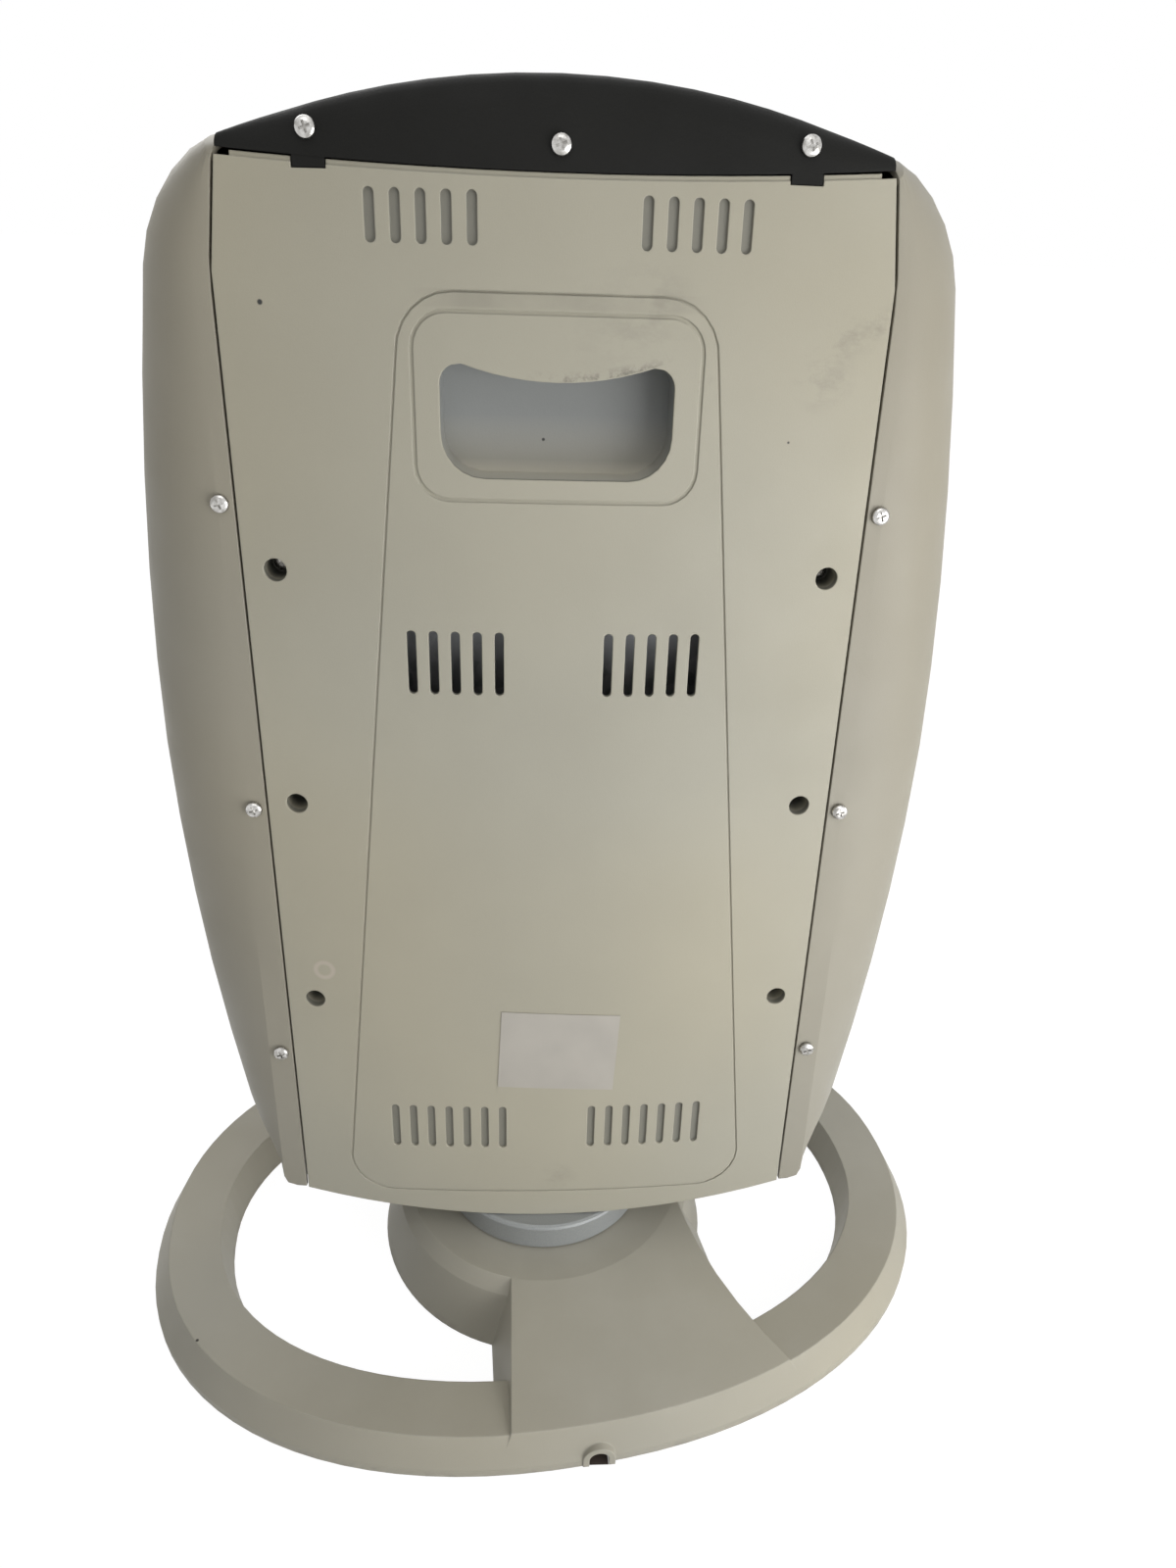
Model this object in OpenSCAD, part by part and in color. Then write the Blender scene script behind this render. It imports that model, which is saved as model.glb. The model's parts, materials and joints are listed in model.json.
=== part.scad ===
// Swivelling halogen heater: a shield-shaped head on an oval ring base.
// The origin is on the floor under the swivel axis, +Z is up and the grille faces -Y.

/* [Base] */
// Half length of the oval ring at the floor
ring_half_l = 240.8; // [225:0.2:255]
// Half depth of the oval ring at the floor
ring_half_d = 168; // [155:1:178]
// Half length of the ring's inner edge
ring_hole_l = 201; // [185:1:208]
// How much the ring's inner wall spreads down to the floor
ring_hole_draft = 5.5; // [3:0.5:8]
// Fullness of the oval; 2 is a plain ellipse
oval_power = 2.18; // [2:0.02:2.4]
// Turn of the oval's long axis from square to the bridges
oval_turn = 3.7; // [0:0.1:8]
// Half depth of the ring's inner edge
ring_hole_d = 132; // [124:1:140]
// Height of the ring's flat top
ring_h = 25; // [22:1:30]
// Height of the upright band under the ring's chamfer
band_h = 6.2; // [5:0.2:13]
// How far the chamfer draws the ring in along its length
ring_chamfer_l = 10; // [6:1:12]
// How far the chamfer draws the ring in along its depth
ring_chamfer_d = 6; // [4:1:9]
// Wall thickness of the moulded base
base_wall = 2.5; // [2:0.1:3]
// Radius of the hub's flat top
hub_top_r = 84.6; // [78:0.2:88]
// Height of the hub's flat top
hub_h = 40.4; // [38:0.2:44]
// Width and height of the hub's chamfer
hub_chamfer = 7; // [5:0.5:9]
// How much the hub's wall spreads down to the floor
hub_draft = 10; // [4:0.2:12]
// Distance from the axis to the bridge's straight edge
bridge_straight_x = 25; // [20:1:34]
// Distance from the axis to the bridge's flared edge at the hub
bridge_flare_x = 78; // [74:1:84]
// How far the flared edge spreads where it meets the ring
bridge_flare_spread = 52; // [45:1:64]
// How much the bridge's straight wall spreads down to the floor
bridge_draft = 12.5; // [5:0.5:14]
// How much the bridge's flared wall spreads down to the floor
bridge_flare_draft = 19; // [12:0.5:22]
// How far the bridge stands over the ring at the upper edge of the ring's chamfer
bridge_step = 1.2; // [0.6:0.2:2]
// Turn of the base under the head, as the heater was stopped in mid swing
base_turn = 4; // [0:1:10]
// Distance of the cord outlet from the ring's short axis
outlet_x = 16; // [10:1:22]
// Width of the cord outlet's opening
outlet_w = 10.4; // [8:0.2:12]
// Height of the cord outlet's opening above the floor
outlet_h = 11.4; // [9:0.2:13]
// Wall of the raised arch round the cord outlet
outlet_wall = 3.4; // [2.4:0.2:4]
// Thickness of the plate that closes the base
plate_t = 2; // [1.6:0.2:2.6]
// Height of the closing plate's underside above the floor
plate_z = 3.6; // [3:0.2:5]
// Radius of a rubber foot
foot_r = 9; // [7:0.5:11]

/* [Swivel] */
// Outer radius of the silver swivel collar
collar_r = 62.8; // [58:0.2:66]
// Height of the collar's visible drum
collar_h = 16; // [13:0.5:17]
// Radius of the collar's crown, which enters the head
crown_r = 47; // [46.5:0.1:48]
// Height of the crown's top above the floor
crown_z = 66; // [65:0.5:68]
// Wall thickness of the collar
collar_wall = 3; // [2.4:0.2:3.6]
// Outer radius of the hollow spindle
spindle_r = 20; // [18:0.5:20.5]
// Bore radius of the spindle, which the cord passes
spindle_bore_r = 15; // [12:0.5:16]
// Running clearance of the spindle in the hub
spindle_clear = 0.05; // [0.02:0.01:0.1]
// Module of the swing gears
gear_module = 1.5; // [1.4:0.05:1.55]
// Teeth of the fixed gear
fixed_teeth = 44; // [44:1:46]
// Teeth of the motor's pinion
pinion_teeth = 12; // [12:1:13]
// Radius of the swing motor's can
motor_r = 24; // [20:0.5:24.5]
// Height of the swing motor's can
motor_h = 20; // [15:0.5:22]

/* [Head] */
// Half width of the head where it is widest
head_half_w = 197; // [190:1:204]
// Height of the widest place above the floor
wide_z = 331; // [315:1:345]
// Height of the head's lowest point above the floor
head_low_z = 58; // [58:0.2:60]
// Height of the head's highest point above the floor
head_top_z = 631; // [628:1:636]
// Radius of the arched top edge
crown_arch_r = 379; // [360:1:410]
// Radius of the curved bottom edge
belly_r = 640; // [600:5:700]
// Radius of the side's long curve below the widest place
side_low_r = 1140; // [1080:10:1250]
// Radius of the side's long curve above the widest place
side_high_r = 1320; // [1250:10:1450]
// Lean of the rear panel towards the front
rear_lean = 3; // [2:0.25:3.5]
// Distance from the axis back to the rear panel's plane at hub height
rear_y = 53.8; // [52:0.2:56]
// Radius of the rear panel's slight bulge
bulge_r = 1087; // [1000:10:1200]
// Distance from the axis to the front bezel's face
front_y = 72; // [70:0.5:76]
// Depth of the front bezel
bezel_d = 14; // [12:0.5:16]
// Width of the bezel beside the grille
bezel_w = 52; // [49:1:55]
// Thickness of the moulded shells
shell_t = 2.6; // [2.2:0.1:3]
// Half width of the rear panel
panel_half_w = 139; // [137:0.5:141]
// Width of the seam between the panels
seam = 1.2; // [0.6:0.1:1.6]
// Height of the line between the front bezel and the black fascia
fascia_z = 530; // [526:1:536]

/* [Rear panel] */
// Distance between two neighbouring vent slots
vent_pitch = 10; // [9.5:0.1:10.5]
// Width of a vent slot
vent_w = 4.2; // [3.4:0.1:4.8]
// Depth of the blind vent slots
vent_blind = 1.6; // [1:0.1:2]
// Half width of the handle pocket's opening
pocket_half_w = 49; // [44:0.5:52]
// Height of the handle pocket's opening
pocket_h = 46; // [42:0.5:50]
// Depth of the handle pocket behind the panel
pocket_d = 22; // [16:0.5:23]
// Wall of the handle pocket
pocket_wall = 2; // [1.6:0.1:2.4]
// Radius of the deep screw wells
well_r = 5.2; // [4.6:0.1:5.6]
// Radius of a pan screw's head
screw_head_r = 4; // [3.5:0.1:4.4]
// Radius of a screw's shank
screw_r = 1.8; // [1.5:0.1:2]

/* [Heating] */
// Distance between the heating tubes
tube_pitch = 94; // [90:1:96]
// Radius of a quartz tube
tube_r = 5.5; // [5:0.1:6.5]
// Radius of a ceramic end
ceramic_r = 8; // [7.2:0.1:8.5]
// Depth of a reflector trough
trough_d = 26; // [20:0.5:28]
// Thickness of the polished sheet
sheet_t = 1; // [0.8:0.1:1.2]
// Distance between the guard's cross wires
wire_pitch = 12; // [10:0.5:14]
// Radius of a guard wire
wire_r = 1.3; // [1:0.1:1.6]

/* [Controls] */
// Radius of the heat knob
knob_r = 20; // [17:0.5:22]
// Height of the heat knob
knob_h = 17; // [14:0.5:20]
// Radius of the swing button
button_r = 9; // [7:0.5:10]
// How far the swing button stands out
button_out = 5; // [4:0.5:7]
// Radius of the power lamp's lens
lamp_r = 4; // [3:0.25:5]
// Radius of the tip-over plunger
plunger_r = 5; // [4:0.25:6]

/* [Hidden] */
$fn = 96;

// Shared heights and places
gap = 0.2;
grey = [0.66, 0.65, 0.60];
charcoal = [0.12, 0.12, 0.12];
silver = [0.60, 0.63, 0.65];
steel = [0.72, 0.73, 0.74];
ring_top_l = ring_half_l - ring_chamfer_l;
ring_top_d = ring_half_d - ring_chamfer_d;
hub_foot_r = hub_top_r + hub_chamfer + hub_draft;
hub_edge_z = hub_h - hub_chamfer;
boss_r = spindle_r + 6;
boss_low_z = 22;
slide_t = 1;
slide_out_r = collar_r - 4;
slide_in_r = slide_out_r - 4.5;
collar_z = hub_h + slide_t + 0.3;
brim_z = collar_z + collar_h;
clip_t = 2.5;
clip_z = boss_low_z - 0.3 - clip_t;
groove_r = spindle_r - 1.7;
spindle_low_z = clip_z - 3;
gear_t = 6;
fixed_pitch_r = gear_module * fixed_teeth / 2;
pinion_pitch_r = gear_module * pinion_teeth / 2;
gear_distance = fixed_pitch_r + pinion_pitch_r;
motor_turn = -45;
motor_x = gear_distance * cos(motor_turn);
motor_y = gear_distance * sin(motor_turn);
shaft_r = 3;
bearing_clear = 0.05;
floor_t = 2.5;
shelf_t = 1.5;
motor_z = crown_z + shelf_t;
motor_ear = motor_r + 5;
bezel_back_y = bezel_d - front_y;
tray_half_w = 148;
tray_low_z = 96;
tray_high_z = 534;
tray_back_y = -2;
tray_front_y = bezel_back_y + gap;
tray_t = 1.2;
leg_x = 68;
leg_w = 20;
foot_corner_z = head_low_z + 63;
foot_corner_h = 48;
foot_corner_w = 32;
shoulder_z = head_top_z - 71;
shoulder_h = 50;
shoulder_w = 38;
bulge_depth = 45;
head_z = head_low_z - 17.4;
panel_low_s = 33;
panel_high_s = 560.5;
panel_centre_low_s = 17.4;
panel_centre_high_s = 555.7;
panel_corner_s = 520;
panel_corner_w = panel_half_w - 5.5;
cap_half_w = panel_corner_w;
cap_round = 12;
screw_head_h = 2.4;
side_screw_x = panel_half_w + 7;
side_screw_s = [131, 280, 428];
well_x = panel_half_w - 14.5;
well_s = [168, 284, 399.5];
well_depth = 18;
well_floor = 3;
well_wall = 2.4;
cap_screw_x = 97;
cap_screw_s = 570;
cap_centre_screw_s = 567;
post_r = 4.5;
pocket_s = 465;
pocket_sag = 6.5;
tube_xs = [-tube_pitch, 0, tube_pitch];
bracket_low_z = 117;
bracket_high_z = 492;
bracket_t = 1.2;
ceramic_h = 24;
trough_back_y = -14;
trough_half_w = tube_pitch / 2;
tube_y = -30;
grille_low_z = 106;
grille_high_z = 500;
grille_y = bezel_back_y - 4.5;
grille_corner = 24;
knob_x = 0;
knob_z = 572;
fascia_face_y = -front_y;
fascia_back_y = bezel_back_y;
selector_r = 3;
button_x = -70;
button_z = 566;
button_travel = 3;
lamp_x = 70;
lamp_z = 566;
plunger_x = 52;
plunger_y = -40;
plunger_travel = 5;

// Outline of the head, seen from the front, from the bottom centre up the +X side
function side_x(z) = head_half_w
    - (z < wide_z ? pow(wide_z - z, 2) / (2 * side_low_r) : pow(z - wide_z, 2) / (2 * side_high_r));
function belly_z(x) = head_low_z + belly_r - sqrt(belly_r * belly_r - x * x);
function arch_z(x) = head_top_z - crown_arch_r + sqrt(crown_arch_r * crown_arch_r - x * x);
function foot_corner(a) = let (z = foot_corner_z - foot_corner_h * sin(a))
    [side_x(z) - foot_corner_w * (1 - cos(a)), z];
function shoulder(a) = let (z = shoulder_z + shoulder_h * sin(a))
    [side_x(z) - shoulder_w * (1 - cos(a)), z];
side_points = concat(
    [for (a = [90:-15:0]) foot_corner(a)],
    [for (i = [1:9]) let (z = foot_corner_z + (shoulder_z - foot_corner_z) * i / 10) [side_x(z), z]],
    [for (a = [0:15:90]) shoulder(a)]);
foot_end = side_points[0];
shoulder_end = side_points[len(side_points) - 1];
arch_points = [for (i = [1:11]) let (x = shoulder_end[0] * (1 - i / 12)) [x, arch_z(x)]];
belly_points = [for (i = [1:11]) let (x = foot_end[0] * i / 12) [x, belly_z(x)]];
half_outline = concat([[0, head_low_z]], belly_points, side_points, arch_points, [[0, head_top_z]]);
function mirrored(points) = [for (p = points) [-p[0], p[1]]];
function reversed(list) = [for (i = [len(list) - 1:-1:0]) list[i]];
function inner(list) = [for (i = [1:len(list) - 2]) list[i]];
head_outline = concat(half_outline, mirrored(reversed(inner(half_outline))));
function unit(v) = v / norm(v);
function inset(points, d) = [for (i = [0:len(points) - 1])
    let (n = len(points), a = points[(i + n - 1) % n], b = points[(i + 1) % n], t = unit(b - a))
    points[i] + d * [-t[1], t[0]]];
function oval_point(a, l, d) = let (c = cos(a), s = sin(a),
    x = l * sign(c) * pow(abs(c), 2 / oval_power), y = d * sign(s) * pow(abs(s), 2 / oval_power))
    [x * cos(oval_turn) - y * sin(oval_turn), x * sin(oval_turn) + y * cos(oval_turn)];
function oval(l, d, n = 96) = [for (i = [0:n - 1]) oval_point(360 * i / n, l, d)];
function bezier(a, b, c, t) = a * (1 - t) * (1 - t) + b * 2 * t * (1 - t) + c * t * t;
function panel_row_y(s) = rear_y - s * sin(rear_lean);
function panel_row_z(s) = head_z + s * cos(rear_lean);

// Places children in the rear panel's frame: x across, y out to the rear, z up the panel
module on_panel() {
    translate([0, rear_y, head_z]) rotate([rear_lean, 0, 0]) children();
}

// Extrudes a front-view outline along Y, from y0 to y1
module along_y(y0, y1) {
    translate([0, y1, 0]) rotate([90, 0, 0]) linear_extrude(y1 - y0) children();
}

// A cylinder along Y, from y0 to y1
module rod_y(x, z, y0, y1, r) {
    translate([x, y1, z]) rotate([90, 0, 0]) cylinder(h = y1 - y0, r = r);
}

// A rod between two heights
module rod_z(x, y, z0, z1, r) {
    translate([x, y, z0]) cylinder(h = z1 - z0, r = r);
}

// A pan head with its cross recess, its seat at the origin, facing +Y
module pan_head(r = screw_head_r, h = screw_head_h) {
    difference() {
        rotate([-90, 0, 0]) rotate_extrude() polygon([[0, 0], [r, 0], [r, h * 0.45],
            [r * 0.93, h * 0.7], [r * 0.75, h * 0.9], [r * 0.5, h], [0, h]]);
        for (a = [0, 90]) translate([0, h, 0]) rotate([0, a + 20, 0])
            cube([r * 1.1, h * 1.2, r * 0.24], center = true);
    }
}

// A screw along Y with its seat at the origin and its shank towards -Y
module screw(length, r = screw_r) {
    pan_head();
    rod_y(0, 0, -length, 0.1, r);
}

// Footprint of one bridge at a share of its walls' spread, drawn in by a margin
function bridge_points(share, d) = let (
    straight = bridge_straight_x + bridge_draft * share - d,
    flare = [for (i = [0:8]) bezier([-bridge_flare_x, 12], [-bridge_flare_x - 1, 88],
        [-bridge_flare_x - bridge_flare_spread, 152], i / 8) - [bridge_flare_draft * share - d, 0]])
    concat([[straight, 20]], flare, [[flare[8][0], 178], [straight, 178]]);
bridge_top_z = hub_h + 2;

// Solid through outlines with the same number of points, at rising heights
module stack(outlines, heights) {
    n = len(outlines[0]);
    m = len(heights);
    polyhedron(
        points = [for (k = [0:m - 1]) for (p = outlines[k]) [p[0], p[1], heights[k]]],
        faces = concat([[for (i = [0:n - 1]) i]], [[for (i = [n - 1:-1:0]) (m - 1) * n + i]],
            [for (k = [0:m - 2]) for (i = [0:n - 1]) let (a = k * n + i, b = k * n + (i + 1) % n)
                for (f = [[a, a + n, b + n], [a, b + n, b]]) f]));
}
module loft(low, high, z0, z1) {
    stack([low, high], [z0, z1]);
}

// Outline of the ring's hole at a height, grown by a margin
function hole_outline(z, d) = let (grow = d + ring_hole_draft * (z / ring_h - 1))
    oval(ring_hole_l + grow, ring_hole_d + grow);

// Outer form of the base drawn in by a margin, used for the skin and for its hollow
lip_share = 0.35;
module base_form(d, low) {
    top_z = ring_h - d;
    lip_z = band_h + (top_z - band_h) * lip_share - 0.8;
    difference() {
        stack([oval(ring_half_l - d, ring_half_d - d), oval(ring_half_l - d, ring_half_d - d),
            oval(ring_top_l - d, ring_top_d - d)], [low, band_h, top_z]);
        loft(hole_outline(-1, d), hole_outline(ring_h + 2, d), -1, ring_h + 2);
    }
    translate([0, 0, low]) cylinder(h = hub_edge_z - low, r1 = hub_foot_r - d, r2 = hub_top_r + hub_chamfer - d);
    translate([0, 0, hub_edge_z]) cylinder(h = hub_chamfer - d, r1 = hub_top_r + hub_chamfer - d, r2 = hub_top_r);
    intersection() {
        for (turn = [0, 180]) rotate([0, 0, turn])
            loft(reversed(bridge_points(1, d)), reversed(bridge_points(0, d)), low, bridge_top_z);
        hull() {
            translate([0, 0, low]) linear_extrude(lip_z - low)
                polygon(oval(ring_half_l - ring_chamfer_l * lip_share - d, ring_half_d - ring_chamfer_d * lip_share - d));
            translate([0, 0, low]) linear_extrude(top_z + bridge_step - low)
                polygon(oval(ring_top_l - d, ring_top_d - d));
            cylinder(h = hub_h - d, r = hub_top_r - d / 2);
        }
    }
}

// The raised arch of the cord outlet, grown by a margin
module outlet_arch(grow, y0, y1, low) {
    w = outlet_w + 2 * grow;
    top = outlet_h + grow;
    translate([-outlet_x, 0, 0]) along_y(y0, y1) intersection() {
        translate([-w / 2, low]) square([w, top - low]);
        union() {
            translate([-w / 2, low - 1]) square([w, top - w / 2 - low + 1]);
            translate([0, top - w / 2]) circle(r = w / 2);
        }
    }
}

ring_mid_l = (ring_half_l + ring_hole_l - ring_hole_draft) / 2;
ring_mid_d = (ring_half_d + ring_hole_d - ring_hole_draft) / 2;
ring_screw_places = [for (a = [25, 155, 205, 335]) oval_point(a, ring_mid_l, ring_mid_d)];
bridge_screw_places = [[-70, 120], [70, -120]];
base_screw_places = concat(ring_screw_places, bridge_screw_places);
bridge_boss_z = (hub_h + ring_h) / 2 - 3;
foot_places = [for (a = [0, 45, 135, 180, 225, 315]) oval_point(a, ring_mid_l, ring_mid_d)];
base_rim_z = 1.2;
plate_top_z = plate_z + plate_t;
base_post_r = 4;
gear_screw_r = 24;
gear_screw_turns = [30, 150, 270];

// One moulding: ring, hub and two bridges, hollow underneath
module base_shell() {
    color(grey) rotate([0, 0, base_turn]) difference() {
        union() {
            difference() {
                union() {
                    base_form(0, base_rim_z);
                    outlet_arch(outlet_wall, ring_half_d - 24, ring_half_d + 0.4, base_rim_z);
                }
                base_form(base_wall, 0);
            }
            rod_z(0, 0, boss_low_z, hub_h - 1, boss_r);
            for (p = ring_screw_places) rod_z(p[0], p[1], plate_top_z + gap, ring_h - 1, base_post_r);
            for (p = bridge_screw_places) rod_z(p[0], p[1], plate_top_z + gap, bridge_boss_z, base_post_r);
            intersection() {
                outlet_arch(outlet_wall, ring_half_d - 16, ring_half_d, plate_top_z + gap);
                base_form(0, base_rim_z);
            }
        }
        rod_z(0, 0, 0, hub_h + 1, spindle_r + spindle_clear);
        outlet_arch(0, ring_half_d - 30, ring_half_d + 2, base_rim_z - 1);
        for (p = base_screw_places) rod_z(p[0], p[1], 0, 17, screw_r + 0.05);
        for (a = gear_screw_turns)
            rod_z(gear_screw_r * cos(a), gear_screw_r * sin(a), hub_h - 9, hub_h + 1, 1.05);
    }
}

// Closing plate under the base
module base_plate() {
    d = base_wall + 0.5;
    z1 = plate_top_z;
    color([0.25, 0.25, 0.25]) rotate([0, 0, base_turn]) difference() {
        union() {
            translate([0, 0, plate_z]) linear_extrude(plate_t) difference() {
                polygon(oval(ring_half_l - d, ring_half_d - d));
                polygon(hole_outline(z1, d));
            }
            rod_z(0, 0, plate_z, z1, hub_foot_r - d - hub_draft * z1 / hub_edge_z);
            for (turn = [0, 180]) rotate([0, 0, turn]) translate([0, 0, plate_z]) intersection() {
                linear_extrude(plate_t) polygon(reversed(bridge_points(1 - z1 / bridge_top_z, d)));
                linear_extrude(plate_t) polygon(oval(ring_half_l - d - 9, ring_half_d - d - 9));
            }
        }
        for (p = base_screw_places) rod_z(p[0], p[1], 0, z1 + 1, 2.2);
        outlet_arch(outlet_wall + 0.6, ring_half_d - 18, ring_half_d + 2, plate_z - 1);
        rotate([0, 0, -base_turn]) rod_z(plunger_x, plunger_y, 0, z1 + 1, plunger_r + 0.8);
    }
}

// Rubber pads under the plate
module rubber_feet() {
    color([0.1, 0.1, 0.1]) rotate([0, 0, base_turn]) for (p = foot_places) {
        translate([p[0], p[1], 0]) cylinder(h = 1, r1 = foot_r - 1, r2 = foot_r);
        rod_z(p[0], p[1], 1, plate_z, foot_r);
    }
}

// Screws that hold the closing plate
module base_screws() {
    color(steel) rotate([0, 0, base_turn]) for (p = base_screw_places)
        translate([p[0], p[1], plate_z]) rotate([-90, 0, 0]) screw(12);
}

// Low-friction ring that the collar turns on
module slide_ring() {
    color([0.9, 0.9, 0.86]) difference() {
        rod_z(0, 0, hub_h, hub_h + slide_t, slide_out_r);
        rod_z(0, 0, hub_h - 1, hub_h + slide_t + 1, slide_in_r);
    }
}

// Involute tooth geometry
function involute(base_r, a) = base_r * [cos(a) + a * PI / 180 * sin(a), sin(a) - a * PI / 180 * cos(a)];
function tooth_points(teeth, m, thin) = let (
    pitch_r = m * teeth / 2, base_r = pitch_r * cos(20), tip_r = pitch_r + m * 0.9,
    root_r = pitch_r - m * 1.15, start_r = max(base_r, root_r),
    roll = sqrt(pow(pitch_r / base_r, 2) - 1) * 180 / PI,
    pitch_a = roll - atan(roll * PI / 180),
    half = 90 / teeth - thin / pitch_r * 180 / PI + pitch_a,
    flank = [for (i = [0:5]) let (r = start_r + (tip_r - start_r) * i / 5,
        a = sqrt(max(pow(r / base_r, 2) - 1, 0)) * 180 / PI, p = involute(base_r, a),
        t = atan2(p[1], p[0])) [norm(p) * cos(t - half), norm(p) * sin(t - half)]])
    concat([[root_r * cos(-half), root_r * sin(-half)]], flank,
        reversed([for (p = flank) [p[0], -p[1]]]), [[root_r * cos(half), root_r * sin(half)]]);
function turned(points, a) = [for (p = points)
    [p[0] * cos(a) - p[1] * sin(a), p[0] * sin(a) + p[1] * cos(a)]];
function gear_points(teeth, m, thin) = [for (i = [0:teeth - 1])
    for (p = turned(tooth_points(teeth, m, thin), 360 * i / teeth)) p];

// Gear that stands still on the hub
module fixed_gear() {
    color([0.92, 0.91, 0.86]) difference() {
        translate([0, 0, hub_h]) rotate([0, 0, motor_turn]) linear_extrude(gear_t)
            polygon(gear_points(fixed_teeth, gear_module, 0.12));
        rod_z(0, 0, hub_h - 1, hub_h + gear_t + 1, spindle_r + 1);
        rotate([0, 0, base_turn]) for (a = gear_screw_turns)
            rod_z(gear_screw_r * cos(a), gear_screw_r * sin(a), hub_h - 1, hub_h + gear_t + 1, 1.2);
    }
}

// Screws that hold the fixed gear to the hub
module gear_screws() {
    color(steel) rotate([0, 0, base_turn]) for (a = gear_screw_turns)
        translate([gear_screw_r * cos(a), gear_screw_r * sin(a), hub_h + gear_t]) {
            cylinder(h = 1.2, r = 2);
            rod_z(0, 0, -13, 0.1, 1);
        }
}

// Housing of the tip-over switch on the closing plate
module tip_switch() {
    z0 = plate_z + plate_t;
    color([0.15, 0.15, 0.16]) difference() {
        translate([plunger_x - 11, plunger_y - 8, z0]) cube([22, 16, 22]);
        rod_z(plunger_x, plunger_y, 0, z0 + 19.5, plunger_r + bearing_clear);
    }
}

// Sprung plunger that the floor holds up
module tip_plunger() {
    color([0.8, 0.2, 0.15]) {
        translate([plunger_x, plunger_y, 0]) cylinder(h = 1.5, r1 = plunger_r - 1.5, r2 = plunger_r);
        rod_z(plunger_x, plunger_y, 1.5, plate_z + plate_t + 19, plunger_r);
    }
}

// Silver collar with its crown and hollow spindle, in one piece
collar_screw_places = [for (a = [45, 135, 225]) 42 * [cos(a), sin(a)]];
module swivel_collar() {
    color(silver) difference() {
        union() {
            rotate_extrude() polygon([[0, collar_z], [collar_r, collar_z], [collar_r, brim_z - 2],
                [collar_r - 0.6, brim_z - 0.6], [collar_r - 2, brim_z], [crown_r, brim_z],
                [crown_r, crown_z], [0, crown_z]]);
            rod_z(0, 0, spindle_low_z, collar_z, spindle_r);
        }
        difference() {
            union() {
                rod_z(0, 0, collar_z - 1, brim_z - collar_wall, collar_r - collar_wall);
                rod_z(0, 0, collar_z - 1, crown_z - collar_wall, crown_r - collar_wall);
            }
            rod_z(0, 0, 0, crown_z, spindle_r);
        }
        rod_z(0, 0, 0, crown_z + 1, spindle_bore_r);
        rod_z(motor_x, motor_y, collar_z, crown_z + 1, shaft_r + 1);
        difference() {
            rod_z(0, 0, clip_z, clip_z + clip_t, spindle_r + 1);
            rod_z(0, 0, clip_z - 1, clip_z + clip_t + 1, groove_r);
        }
        for (p = collar_screw_places) rod_z(p[0], p[1], crown_z - 4, crown_z + 1, screw_r + 0.05);
    }
}

// Open clip in the spindle's groove, which holds the head down
module spindle_clip() {
    color(steel) difference() {
        rod_z(0, 0, clip_z + 0.1, clip_z + clip_t - 0.1, boss_r);
        rod_z(0, 0, clip_z - 1, clip_z + clip_t + 1, groove_r + 0.05);
        translate([0, -6, clip_z - 1]) cube([boss_r + 2, 12, clip_t + 2]);
    }
}

// Pinion on the swing motor's shaft
module drive_pinion() {
    mesh_turn = motor_turn + 180 + (pinion_teeth % 2 == 0 ? 180 / pinion_teeth : 0);
    color([0.92, 0.91, 0.86]) {
        translate([motor_x, motor_y, collar_z + 0.6]) rotate([0, 0, mesh_turn]) linear_extrude(gear_t - 1)
            polygon(gear_points(pinion_teeth, gear_module, 0.12));
        rod_z(motor_x, motor_y, collar_z + 0.6, motor_z + motor_h * 0.6, shaft_r);
    }
}

// Slow synchronous motor that swings the head
module swing_motor() {
    color([0.75, 0.74, 0.68]) difference() {
        union() {
            rod_z(motor_x, motor_y, motor_z, motor_z + motor_h, motor_r);
            translate([motor_x, motor_y, motor_z]) linear_extrude(1) hull() {
                for (side = [-1, 1]) translate([side * motor_ear, 0]) circle(r = 5);
            }
        }
        rod_z(motor_x, motor_y, motor_z - 1, motor_z + motor_h * 0.6 + 0.5, shaft_r + bearing_clear);
        for (side = [-1, 1]) rod_z(motor_x + side * motor_ear, motor_y, motor_z - 1, motor_z + 2, 2);
    }
}

// Screws through the shelf into the collar's crown, and the motor's two
module collar_screws() {
    color(steel) {
        for (p = collar_screw_places) translate([p[0], p[1], motor_z]) rotate([90, 0, 0]) screw(shelf_t + 2.6);
        for (side = [-1, 1]) translate([motor_x + side * motor_ear, motor_y, motor_z + 1])
            rotate([90, 0, 0]) screw(2.2);
    }
}

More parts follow.
